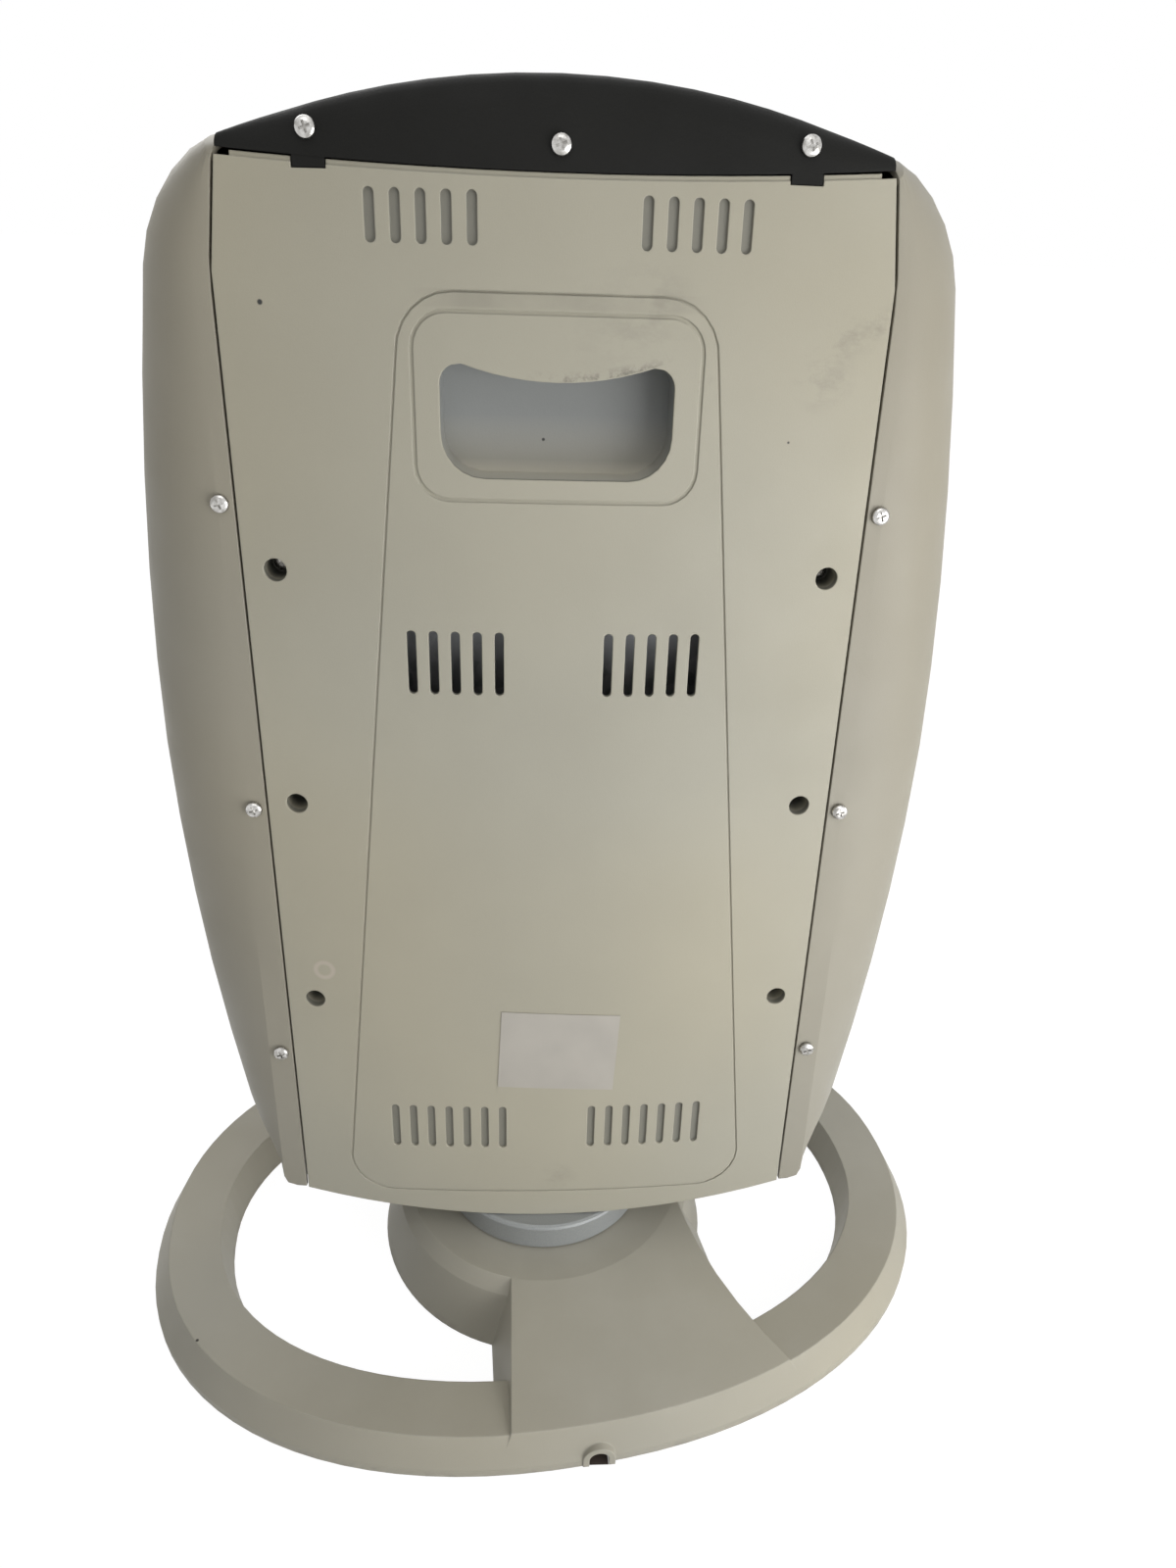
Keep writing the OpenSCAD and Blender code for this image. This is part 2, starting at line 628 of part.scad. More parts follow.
// Folded steel chassis: a tray for the heating parts, two legs and a shelf
module chassis() {
    flange = 10;
    corner_cut = 12;
    color([0.62, 0.63, 0.62]) difference() {
        union() {
            translate([-tray_half_w - 4, tray_back_y - tray_t, tray_low_z])
                cube([2 * tray_half_w + 8, tray_t, tray_high_z - tray_low_z]);
            along_y(tray_front_y, tray_back_y - tray_t / 2) difference() {
                translate([-tray_half_w, tray_low_z]) square([2 * tray_half_w, tray_high_z - tray_low_z]);
                translate([-tray_half_w + tray_t, tray_low_z + tray_t])
                    square([2 * (tray_half_w - tray_t), tray_high_z - tray_low_z - 2 * tray_t]);
            }
            along_y(tray_front_y, tray_front_y + tray_t) difference() {
                translate([-tray_half_w - flange, tray_low_z - flange + 1])
                    square([2 * (tray_half_w + flange), tray_high_z - tray_low_z + 2 * flange - 6]);
                translate([-tray_half_w + tray_t, tray_low_z + tray_t])
                    square([2 * (tray_half_w - tray_t), tray_high_z - tray_low_z - 2 * tray_t]);
            }
            for (side = [-1, 1]) translate([side * leg_x - leg_w / 2, tray_back_y - tray_t, crown_z])
                cube([leg_w, tray_t, tray_low_z - crown_z + 2]);
            translate([-leg_x - leg_w / 2, -50, crown_z]) cube([2 * leg_x + leg_w, 86, shelf_t]);
        }
        rod_z(0, 0, crown_z - 1, motor_z + 1, spindle_bore_r + 1);
        rod_z(motor_x, motor_y, crown_z - 1, motor_z + 1, shaft_r + 2);
        for (side = [-1, 1]) rod_z(motor_x + side * motor_ear, motor_y, crown_z - 1, motor_z + 1, screw_r + 0.1);
        for (p = collar_screw_places) rod_z(p[0], p[1], crown_z - 1, motor_z + 1, screw_r + 0.1);
        for (p = bezel_screw_places) rod_y(p[0], p[1], tray_front_y - 1, tray_front_y + 3, screw_r + 0.1);
        for (side = [-1, 1]) for (s = well_s) on_panel() rod_y(side * well_x, s, -70, -20, screw_r + 0.3);
        for (side = [-1, 1])
            translate([side * (tray_half_w + flange), tray_front_y + tray_t / 2, tray_low_z - flange + 1])
                rotate([0, 45, 0]) cube([corner_cut, 2 * tray_t, corner_cut], center = true);
    }
}
bezel_screw_x = tray_half_w + 6.5;
bezel_screw_places = concat([for (side = [-1, 1]) for (z = [140, 320, 500]) [side * bezel_screw_x, z]],
    [[-70, tray_low_z - 4], [70, tray_low_z - 4]]);

// Space in front of the rear panel's inner face
module behind_panel(clear) {
    on_panel() translate([0, -bulge_r, -60]) cylinder(h = 800, r = bulge_r - shell_t - clear, $fn = 720);
}

// Curved floor of the head between the bezel and the rear panel
module head_floor() {
    half = foot_end[0] - 4.8;
    color(grey) difference() {
        intersection() {
            along_y(bezel_back_y + gap, rear_y + 5) difference() {
                intersection() {
                    translate([0, head_low_z + belly_r]) circle(r = belly_r, $fn = 720);
                    translate([-half, head_low_z - 5]) square([2 * half, 40]);
                }
                translate([0, head_low_z + belly_r]) circle(r = belly_r - floor_t, $fn = 720);
            }
            behind_panel(0.1);
        }
        rod_z(0, 0, head_low_z - 10, crown_z + 10, crown_r + 0.4);
    }
}

// Seam line of the rear panel
function seam_x(s) = s < panel_corner_s ? panel_half_w
    : panel_half_w - (panel_half_w - panel_corner_w) * (s - panel_corner_s) / (panel_high_s - panel_corner_s);
function panel_foot_s(x) = panel_centre_low_s + belly_r - sqrt(belly_r * belly_r - x * x);
panel_top_r = panel_corner_w * panel_corner_w / (2 * (panel_high_s - panel_centre_high_s));
function panel_top_s(x) = panel_centre_high_s + x * x / (2 * panel_top_r);
panel_outline = concat(
    [for (i = [-8:8]) let (x = panel_half_w * i / 8) [x, panel_foot_s(x)]],
    [[panel_half_w, panel_corner_s]],
    [for (i = [8:-1:-8]) let (x = panel_corner_w * i / 8) [x, panel_top_s(x)]],
    [[-panel_half_w, panel_corner_s]]);
function arc(c, r, a0, a1, n = 6) = [for (i = [0:n])
    let (a = a0 + (a1 - a0) * i / n) c + r * [cos(a), sin(a)]];
function tapered_frame(low_w, high_w, low_s, high_s, r, d) = concat(
    arc([low_w - r, low_s + r], r - d, -90, 0), arc([high_w - r, high_s - r], r - d, 0, 90),
    arc([r - high_w, high_s - r], r - d, 90, 180), arc([r - low_w, low_s + r], r - d, 180, 270));
pocket_low_s = pocket_s - pocket_h / 2;
pocket_high_s = pocket_s + pocket_h / 2;
pocket_lip_w = 40;
pocket_lip_r = pocket_lip_w * pocket_lip_w / (2 * pocket_sag) + pocket_sag / 2;
function pocket_points(d) = concat(
    arc([pocket_half_w - 18, pocket_low_s + 18], 18 + d, -90, 0),
    arc([pocket_half_w - 8, pocket_high_s - 8], 8 + d, 0, 70),
    [for (i = [6:-1:-6]) let (x = pocket_lip_w * i / 6)
        [x, pocket_high_s - pocket_sag + d + pocket_lip_r - sqrt(pocket_lip_r * pocket_lip_r - x * x)]],
    arc([8 - pocket_half_w, pocket_high_s - 8], 8 + d, 110, 180),
    arc([18 - pocket_half_w, pocket_low_s + 18], 18 + d, 180, 270));

// Curved sheet that follows the rear panel's face, between two depths
module panel_skin(outer, depth, s0, s1) {
    translate([0, -bulge_r, s0]) difference() {
        cylinder(h = s1 - s0, r = bulge_r - outer, $fn = 720);
        translate([0, 0, -1]) cylinder(h = s1 - s0 + 2, r = bulge_r - depth, $fn = 720);
    }
}

// Cuts a rounded slot in the panel's frame
module slot(x, s0, s1, w) {
    along_y(-40, 5) {
        translate([x - w / 2, s0 + w / 2]) square([w, s1 - s0 - w]);
        translate([x, s0 + w / 2]) circle(r = w / 2, $fn = 24);
        translate([x, s1 - w / 2]) circle(r = w / 2, $fn = 24);
    }
}

// Both groups of a row of vents
module vent_row(count, first_x, s0, s1) {
    for (side = [-1, 1]) for (i = [0:count - 1])
        slot(side * (first_x + i * vent_pitch), s0, s1, vent_w);
}

// Rear panel with its vents, grooves, pocket opening and screw wells
module rear_panel() {
    color(grey) difference() {
        union() {
            on_panel() intersection() {
                panel_skin(0, shell_t, 0, 600);
                along_y(-60, 5) polygon(panel_outline);
            }
            on_panel() intersection() {
                panel_skin(ledge_depth, shell_t, 0, 600);
                along_y(-60, 5) translate([0, ledge_h]) polygon(panel_outline);
                translate([-ledge_half_w, -60, 540]) cube([2 * ledge_half_w, 70, 40]);
            }
            difference() {
                on_panel() for (side = [-1, 1]) for (s = well_s) {
                    intersection() {
                        rod_y(side * well_x, s, -7 - well_depth - well_floor, 0, well_r + well_wall);
                        translate([0, -bulge_r, 0]) cylinder(h = 600, r = bulge_r - 1, $fn = 720);
                    }
                    rod_y(side * well_x, s, -60, -7 - well_depth, 5);
                }
                translate([-300, tray_back_y + 0.1 - 200, 0]) cube([600, 200, 700]);
            }
        }
        on_panel() {
            for (side = [-1, 1]) for (s = well_s) {
                rod_y(side * well_x, s, -7 - well_depth, 5, well_r);
                rod_y(side * well_x, s, -70, 0, screw_r + 0.1);
            }
            vent_row(5, 25, 343.5, 374);
            intersection() {
                union() {
                    vent_row(5, 34.5, 531.5, 551);
                    vent_row(7, 25, 69, 98.5);
                }
                panel_skin(-2, vent_blind, 0, 600);
            }
            along_y(-40, 5) polygon(pocket_points(0));
            intersection() {
                along_y(-40, 5) union() {
                    difference() {
                        polygon(tapered_frame(112, 67, 35.5, 515.5, 24, 0));
                        polygon(tapered_frame(112, 67, 35.5, 515.5, 24, 0.9));
                    }
                    difference() {
                        polygon(tapered_frame(61, 61, 432, 508.5, 15, 0));
                        polygon(tapered_frame(61, 61, 432, 508.5, 15, 1.6));
                    }
                }
                panel_skin(-2, 0.7, 0, 600);
            }
            for (side = [-1, 1]) translate([side * cap_screw_x, -60, panel_top_s(cap_screw_x) - tab_drop - 0.3])
                translate([-tab_half_w - 0.4, 0, 0]) cube([2 * tab_half_w + 0.8, 70, 20]);
        }
    }
}

// Surface of a side shell: u runs up the outline, v from the rear seam to the bezel
shell_bend = 12;
shell_run = 4;
front_taper = 4;
crease_w = 12;
strip_min = 0.8;
strip_corner_r = 6;
function strip_corner(s) = let (f = min(max((panel_low_s + strip_corner_r - s) / strip_corner_r, 0), 1))
    strip_corner_r * (1 - sqrt(1 - f * f));
function crease(s) = let (c = min(max((310 - s) / 110, 0), 1)) c * c * (3 - 2 * c);
function shell_section(p) = let (
    s = panel_low_s + (panel_high_s - panel_low_s) * (p[1] - foot_end[1]) / (shoulder_end[1] - foot_end[1]),
    c = crease(s), sx = seam_x(s) + seam,
    rear = [sx, panel_row_y(s) - sx * sx / (2 * bulge_r), panel_row_z(s)],
    strip = min(strip_min, (p[0] - sx) * 0.5 + 1.5) + crease_w * c - strip_corner(s),
    way = unit([p[0] - sx + 3 + 2 * crease_w * c, p[1] - rear[2]]),
    edge = rear + [strip * way[0], -strip * 0.12, strip * way[1]],
    a0 = 26 * c, reach = [p[0] - edge[0], p[1] - edge[2]],
    depth = edge[1] - bulge_depth,
    last_y = bezel_back_y + gap)
    concat([rear],
        [for (i = [0:shell_bend]) let (a = a0 + (90 - a0) * i / shell_bend,
            f = (sin(a) - sin(a0)) / (1 - sin(a0)))
            [edge[0] + reach[0] * f, edge[1] - bulge_depth * (cos(a0) - cos(a)) / cos(a0), edge[2] + reach[1] * f]],
        [for (i = [1:shell_run]) let (f = i / shell_run)
            [p[0] - front_taper * f * f, depth + (last_y - depth) * f, p[1]]]);
shell_grid = [for (p = side_points) shell_section(p)];
function shell_normal(i, j) = let (
    n = len(shell_grid), m = len(shell_grid[0]),
    du = shell_grid[min(i + 1, n - 1)][j] - shell_grid[max(i - 1, 0)][j],
    dv = shell_grid[i][min(j + 1, m - 1)] - shell_grid[i][max(j - 1, 0)])
    unit(cross(du, dv));
shell_inner = [for (i = [0:len(shell_grid) - 1]) [for (j = [0:len(shell_grid[0]) - 1])
    shell_grid[i][j] - shell_t * shell_normal(i, j)]];

// Bulging side shell on the +X side
module side_shell() {
    n = len(shell_grid);
    m = len(shell_grid[0]);
    flat_points = concat([for (row = shell_grid) for (p = row) p], [for (row = shell_inner) for (p = row) p]);
    outer = [for (i = [0:n - 2]) for (j = [0:m - 2]) let (a = i * m + j)
        for (f = [[a, a + m, a + m + 1], [a, a + m + 1, a + 1]]) f];
    back = [for (f = outer) [f[2] + n * m, f[1] + n * m, f[0] + n * m]];
    ends = [for (j = [0:m - 2]) for (f = [
        [j, j + 1, j + 1 + n * m], [j, j + 1 + n * m, j + n * m],
        [(n - 1) * m + j + 1, (n - 1) * m + j, (2 * n - 1) * m + j],
        [(n - 1) * m + j + 1, (2 * n - 1) * m + j, (2 * n - 1) * m + j + 1]]) f];
    edges = [for (i = [0:n - 2]) for (f = [
        [(i + 1) * m, i * m, (n + i) * m], [(i + 1) * m, (n + i) * m, (n + i + 1) * m],
        [i * m + m - 1, (i + 1) * m + m - 1, (n + i + 1) * m + m - 1],
        [i * m + m - 1, (n + i + 1) * m + m - 1, (n + i) * m + m - 1]]) f];
    difference() {
        polyhedron(points = flat_points, faces = [for (f = concat(outer, back, ends, edges)) reversed(f)]);
        on_panel() for (s = side_screw_s) rod_y(side_screw_x, s, -40, 0, screw_r + 0.3);
    }
}
module right_shell() {
    color([0.60, 0.58, 0.53]) side_shell();
}
module left_shell() {
    color([0.60, 0.58, 0.53]) mirror([1, 0, 0]) side_shell();
}

// Standoffs on the chassis that the side shells are screwed to
pillar_y = -13.4;
module shell_pillars() {
    color(steel) for (side = [-1, 1]) for (s = side_screw_s) difference() {
        on_panel() rod_y(side * side_screw_x, s, -70, pillar_y, post_r);
        on_panel() rod_y(side * side_screw_x, s, -28, pillar_y + 1, screw_r + 0.05);
        translate([-300, tray_back_y - 200, 0]) cube([600, 200, 700]);
    }
}

// Pocket behind the panel's opening, for lifting the heater
module handle_cup() {
    color([0.62, 0.64, 0.66]) intersection() {
        on_panel() difference() {
            along_y(-pocket_d - shell_t - pocket_wall, 0) polygon(pocket_points(pocket_wall));
            along_y(-pocket_d - shell_t, 1) polygon(pocket_points(0.4));
        }
        behind_panel(0.05);
    }
}

// Blank plate in the place of the rating label
module rating_plate() {
    color([0.68, 0.65, 0.66]) on_panel() intersection() {
        panel_skin(-0.45, -0.12, 0, 600);
        translate([-5.7, 0, 137]) rotate([0, -2.8, 0]) translate([-32, -5, -25.2]) cube([64, 10, 50.4]);
    }
}

// Form of the black cap, drawn in by a margin
function cap_top_z(x) = min(arch_z(x), panel_row_z(panel_high_s) + 5 + (cap_half_w - abs(x)) * 2.6);
ledge_h = 1.9;
ledge_depth = 0.9;
ledge_half_w = panel_corner_w - 6;
tab_half_w = 6.4;
tab_drop = 1.4;
function rear_face_y(x, z) = panel_row_y((z - head_z) / cos(rear_lean)) - x * x / (2 * bulge_r);
cap_rows = 12;
function cap_row(x, d) = let (
    top = cap_top_z(x) - d,
    low = panel_row_z(panel_top_s(x)) + ledge_h + 0.3 - (d > 0 ? 8 : 0),
    r = min(cap_round, (top - low) * 0.8),
    front = d > 0 ? fascia_back_y - 20 : fascia_back_y + gap)
    concat([[x, front, low], [x, rear_face_y(x, low) - d, low]],
        [for (a = [0:15:90]) [x, rear_face_y(x, top - r) - d - r + r * cos(a), top - r + r * sin(a)]],
        [[x, front, top]]);
module cap_form(d) {
    rows = [for (i = [-cap_rows:cap_rows]) cap_row((cap_half_w - d) * sin(90 * i / cap_rows), d)];
    m = len(rows[0]);
    last = (len(rows) - 1) * m;
    polyhedron(points = [for (row = rows) for (p = row) p], faces = concat(
        [[for (j = [0:m - 1]) j], [for (j = [m - 1:-1:0]) last + j]],
        [for (i = [0:len(rows) - 2]) for (j = [0:m - 1]) let (a = i * m + j, b = i * m + (j + 1) % m)
            for (f = [[a, a + m, b + m], [a, b + m, b]]) f]));
}

// Plan of what the side shell's top end takes from the cap's end
cap_end_row = [for (p = shell_grid[len(shell_grid) - 1]) [p[0] - 1.3, p[1]]];
cap_end_cut = concat([[cap_half_w + 0.2, rear_y], [cap_half_w + 0.2, 20]],
    [for (j = [6, 9, 12, 15]) cap_end_row[j]],
    [[cap_end_row[17][0], bezel_back_y - 1], [head_half_w, bezel_back_y - 1], [head_half_w, rear_y]]);

// Black cover on the head's top, with three screws in its rear
module top_cap() {
    color(charcoal) difference() {
        union() {
            difference() {
                cap_form(0);
                cap_form(2.4);
            }
            on_panel() for (side = [-1, 1]) intersection() {
                translate([side * cap_screw_x - tab_half_w, -60, panel_top_s(cap_screw_x) - tab_drop])
                    cube([2 * tab_half_w, 70, tab_drop + ledge_h + 4]);
                panel_skin(0.2, 2.4, 540, 600);
            }
        }
        on_panel() for (p = cap_screw_places) rod_y(p[0], p[1], -30, 5, screw_r + 0.3);
        for (side = [0, 1]) mirror([side, 0, 0]) translate([0, 0, 590]) linear_extrude(shoulder_end[1] - 590 + 0.8)
            polygon(cap_end_cut);
    }
}
cap_screw_places = [[-cap_screw_x, cap_screw_s], [0, cap_centre_screw_s], [cap_screw_x, cap_screw_s]];
function bulge_y(x) = -x * x / (2 * bulge_r);

// Rounded plate that follows part of the head's outline, as the bezel and the fascia do
module front_form(points) {
    rotate([90, 0, 0]) {
        loft(points, points, -bezel_back_y, front_y - 6);
        loft(points, inset(points, 1.6), front_y - 6, front_y - 2.4);
        loft(inset(points, 1.6), inset(points, 5), front_y - 2.4, front_y);
    }
}
bezel_top_z = fascia_z - gap;
bezel_half = [for (p = half_outline) if (p[1] < bezel_top_z - 4) p];
bezel_right = concat(bezel_half, [[side_x(bezel_top_z) - 0.01, bezel_top_z]]);
bezel_outline = concat(bezel_right, mirrored(reversed([for (i = [1:len(bezel_right) - 1]) bezel_right[i]])));
fascia_low_z = fascia_z + gap;
fascia_right = concat([[side_x(fascia_low_z), fascia_low_z]],
    [for (p = half_outline) if (p[1] > fascia_low_z + 4) p]);
fascia_outline = concat(fascia_right, mirrored(reversed([for (i = [0:len(fascia_right) - 2]) fascia_right[i]])));
function grille_half_w(z) = side_x(z) - bezel_w;
function grille_points(d) = let (r = grille_corner + d,
    low = grille_low_z - d, high = grille_high_z + d,
    right = [for (i = [0:6]) let (z = low + r + (high - low - 2 * r) * i / 6) [grille_half_w(z) + d, z]],
    low_w = right[0][0], high_w = right[6][0],
    points = concat(arc([low_w - r, low + r], r, -90, -10), right, arc([high_w - r, high - r], r, 10, 90)))
    concat(points, mirrored(reversed(points)));

// Front bezel round the grille
module front_bezel() {
    face_t = 2.6;
    return_w = 8;
    color(grey) difference() {
        union() {
            difference() {
                front_form(bezel_outline);
                along_y(-front_y + face_t, bezel_back_y + 1) difference() {
                    polygon(inset(bezel_outline, shell_t));
                    polygon(grille_points(return_w));
                }
                along_y(grille_y - 1.9, bezel_back_y + 1) polygon(grille_points(return_w + 1));
            }
            for (p = bezel_screw_places) rod_y(p[0], p[1], -front_y + 1, bezel_back_y, 3.8);
        }
        along_y(-front_y - 1, bezel_back_y + 1) polygon(grille_points(0));
        rotate([90, 0, 0]) loft(grille_points(0), grille_points(7), front_y - 6, front_y + 1);
        for (p = bezel_screw_places) rod_y(p[0], p[1], -front_y + 4, bezel_back_y + 1, screw_r + 0.05);
    }
}

// Screws from the chassis into the bezel
module bezel_screws() {
    color(steel) for (p = bezel_screw_places) translate([p[0], tray_front_y + tray_t, p[1]]) screw(9);
}

// Black fascia with the controls, and the posts that the cap is screwed to
module control_fascia() {
    face_t = 2.6;
    color(charcoal) difference() {
        union() {
            difference() {
                front_form(fascia_outline);
                along_y(-front_y + face_t, bezel_back_y + 1) polygon(inset(fascia_outline, shell_t));
            }
            intersection() {
                on_panel() for (p = cap_screw_places)
                    rod_y(p[0], p[1], -140, bulge_y(p[0]) - 2.4 - 0.3, post_r);
                translate([-300, -front_y + face_t - 0.5, 500]) cube([600, 200, 200]);
                cap_form(2.7);
            }
        }
        on_panel() for (p = cap_screw_places) rod_y(p[0], p[1], -20, 5, screw_r + 0.05);
        rod_y(knob_x, knob_z, -front_y - 1, -front_y + 5, 5.2);
        rod_y(button_x, button_z, -front_y - 1, -front_y + 5, button_r + 0.4);
        rod_y(lamp_x, lamp_z, -front_y - 1, -front_y + 5, lamp_r + 0.1);
    }
}

// Guard of welded wires behind the bezel's opening
module guard_grille() {
    frame_r = 1.8;
    corner_r = grille_corner + 3.5;
    path = grille_points(3.5);
    n = len(path);
    wire_count = floor((grille_high_z - grille_low_z) / wire_pitch);
    first_z = (grille_high_z + grille_low_z - wire_pitch * (wire_count - 1)) / 2;
    sides = 8;
    ring_points = [for (i = [0:n - 1]) let (
        t = unit(path[(i + 1) % n] - path[(i + n - 1) % n]), out = [t[1], -t[0]])
        for (k = [0:sides - 1]) let (a = 360 * (k + 0.5) / sides)
            [path[i][0] + out[0] * frame_r * cos(a), grille_y + frame_r * sin(a), path[i][1] + out[1] * frame_r * cos(a)]];
    ring_faces = [for (i = [0:n - 1]) for (k = [0:sides - 1]) let (
        a = i * sides + k, b = i * sides + (k + 1) % sides,
        c = ((i + 1) % n) * sides + k, d = ((i + 1) % n) * sides + (k + 1) % sides)
        for (f = [[b, a, d], [d, a, c]]) f];
    color([0.75, 0.76, 0.77]) {
        polyhedron(points = ring_points, faces = ring_faces);
        for (i = [0:wire_count - 1]) let (z = first_z + i * wire_pitch,
            rise = min(z - grille_low_z, grille_high_z - z) + 3.5,
            drop = max(corner_r - rise, 0),
            half = grille_half_w(z) + 3.5 - corner_r + sqrt(corner_r * corner_r - drop * drop))
            translate([-half, grille_y, z]) rotate([0, 90, 0]) rotate([0, 0, 22.5]) cylinder(h = 2 * half, r = wire_r, $fn = 8);
        for (x = [-64, 0, 64]) translate([x, grille_y + 2 * wire_r - 0.4, grille_low_z - 3.5])
            rotate([0, 0, 22.5]) cylinder(h = grille_high_z - grille_low_z + 7, r = wire_r, $fn = 8);
    }
}

// Polished reflector with a trough behind each tube
module reflector() {
    edge = 3 * trough_half_w;
    steps = 10;
    front = concat([[-edge - 4.5, trough_back_y - trough_d]],
        [for (x0 = tube_xs) for (i = [0:steps]) if (i > 0 || x0 == tube_xs[0])
            let (u = 2 * i / steps - 1) [x0 + u * trough_half_w, trough_back_y - trough_d * u * u]],
        [[edge + 4.5, trough_back_y - trough_d]]);
    color([0.82, 0.83, 0.84]) rod_profile(front, bracket_low_z + bracket_t + gap, bracket_high_z - gap);
}
module rod_profile(front, z0, z1) {
    translate([0, 0, z0]) linear_extrude(z1 - z0)
        polygon(concat(front, reversed([for (p = front) p + [0, sheet_t]])));
}

// Steel strip that carries the tubes' ceramic ends
module tube_bracket(z) {
    color([0.7, 0.71, 0.72]) difference() {
        translate([-tray_half_w + tray_t + gap, -50, z])
            cube([2 * (tray_half_w - tray_t - gap), 50 + tray_back_y - tray_t - gap, bracket_t]);
        for (x = tube_xs) rod_z(x, tube_y, z - 1, z + bracket_t + 1, ceramic_r + 0.1);
    }
}
module lower_bracket() {
    tube_bracket(bracket_low_z);
}
module upper_bracket() {
    tube_bracket(bracket_high_z);
}
tube_low_z = bracket_low_z + ceramic_h / 2 + 0.6;
tube_high_z = bracket_high_z + bracket_t - ceramic_h / 2 - 0.6;

// Clear quartz tubes
module quartz_tubes() {
    color([0.85, 0.9, 0.92, 0.4]) for (x = tube_xs) difference() {
        rod_z(x, tube_y, tube_low_z, tube_high_z, tube_r);
        rod_z(x, tube_y, tube_low_z - 1, tube_high_z + 1, tube_r - 1);
    }
}

// Tungsten filaments on the tubes' centre lines
module filaments() {
    color([0.4, 0.38, 0.36]) for (x = tube_xs) rod_z(x, tube_y, tube_low_z + 0.1, tube_high_z - 0.1, 1.3);
}

// Ceramic ends of the tubes
module ceramic_ends() {
    color([0.93, 0.91, 0.86]) for (x = tube_xs) {
        rod_z(x, tube_y, tube_low_z - ceramic_h, tube_low_z - 0.1, ceramic_r);
        rod_z(x, tube_y, tube_high_z + 0.1, tube_high_z + ceramic_h, ceramic_r);
    }
}

// Screws of the black cap
module cap_screws() {
    color(steel) on_panel() for (p = cap_screw_places) translate([p[0], bulge_y(p[0]) + 0.4, p[1]]) screw(14);
}

// Screws of the side shells
module side_screws() {
    color(steel) on_panel() for (side = [-1, 1]) for (s = side_screw_s)
        translate([side * side_screw_x, bulge_y(side_screw_x) + 0.95, s]) screw(16);
}

// Screws deep in the rear panel's wells
module panel_screws() {
    color(steel) on_panel() for (side = [-1, 1]) for (s = well_s)
        translate([side * well_x, -7 - well_depth, s]) screw(well_depth_to_tray(s) + 6);
}
function well_depth_to_tray(s) = panel_row_y(s) - 7 - well_depth - tray_back_y;

// Rotary heat selector behind the fascia
module selector_switch() {
    color([0.2, 0.2, 0.21]) difference() {
        union() {
            translate([knob_x - 17, -front_y + 2.8, knob_z - 17]) cube([34, 24, 34]);
            rod_y(knob_x, knob_z, -front_y, -front_y + 4, 5);
        }
        rod_y(knob_x, knob_z, -front_y - 1, -front_y + 18.4, selector_r + bearing_clear);
    }
}
module selector_shaft() {
    color(steel) rod_y(knob_x, knob_z, -front_y - 14, -front_y + 18, selector_r);
}

// Knob that sets the heat
module heat_knob() {
    color([0.16, 0.16, 0.17]) difference() {
        union() {
            rod_y(knob_x, knob_z, -front_y - 5, -front_y - 0.5, knob_r + 2);
            rod_y(knob_x, knob_z, -front_y - knob_h, -front_y - 4, knob_r - 2);
            translate([knob_x - 3, -front_y - knob_h - 2, knob_z - knob_r + 3]) cube([6, 6, 2 * knob_r - 6]);
        }
        rod_y(knob_x, knob_z, -front_y - 14.1, -front_y, selector_r + 0.02);
    }
}

// Push switch for the swing, and its button
module swing_switch() {
    color([0.2, 0.2, 0.21]) difference() {
        translate([button_x - 11, -front_y + 2.8, button_z - 11]) cube([22, 24, 22]);
        rod_y(button_x, button_z, -front_y + 2, -front_y + 10, button_r + 0.5);
        rod_y(button_x, button_z, -front_y + 9, -front_y + 21.5, 4 + bearing_clear);
    }
}
module swing_button() {
    color([0.35, 0.36, 0.37]) {
        rod_y(button_x, button_z, -front_y - button_out, -front_y + 6, button_r);
        rod_y(button_x, button_z, -front_y + 5, -front_y + 17, 4);
    }
}

// Lens of the power lamp
module power_lamp() {
    color([0.8, 0.3, 0.15]) {
        rod_y(lamp_x, lamp_z, -front_y - 1, -front_y + 12, lamp_r);
        rod_y(lamp_x, lamp_z, -front_y + 2.7, -front_y + 5, lamp_r + 2);
    }
}

// Mains terminal block on the shelf
module terminal_block() {
    color([0.9, 0.9, 0.88]) difference() {
        translate([-77, -44, motor_z]) cube([32, 18, 16]);
        for (i = [0:2]) for (y = [-39, -31]) rod_z(-71.5 + i * 10.5, y, motor_z + 5, motor_z + 17, 2);
    }
}

// Thermal cut-out on the chassis
cutout_x = 92;
cutout_z = 470;
module thermal_cutout() {
    color([0.25, 0.22, 0.2]) {
        rod_y(cutout_x, cutout_z, tray_back_y, tray_back_y + 4, 8);
        rod_y(cutout_x, cutout_z, tray_back_y + 3, tray_back_y + 9, 6);
    }
}

base_shell();
base_plate();
rubber_feet();
base_screws();
slide_ring();
fixed_gear();
gear_screws();
tip_switch();
tip_plunger();
swivel_collar();
spindle_clip();
drive_pinion();
swing_motor();
collar_screws();
chassis();
head_floor();
rear_panel();
left_shell();
right_shell();
shell_pillars();
handle_cup();
rating_plate();
top_cap();
control_fascia();
front_bezel();
bezel_screws();
guard_grille();
reflector();
lower_bracket();
upper_bracket();
quartz_tubes();
filaments();
ceramic_ends();
cap_screws();
side_screws();
panel_screws();
selector_switch();
selector_shaft();
heat_knob();
swing_switch();
swing_button();
power_lamp();
terminal_block();
thermal_cutout();
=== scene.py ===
# Swivelling halogen heater, seen from behind. Metres; +Z is up and the grille faces -Y.
import json
import math

import bpy
from mathutils import Matrix, Vector

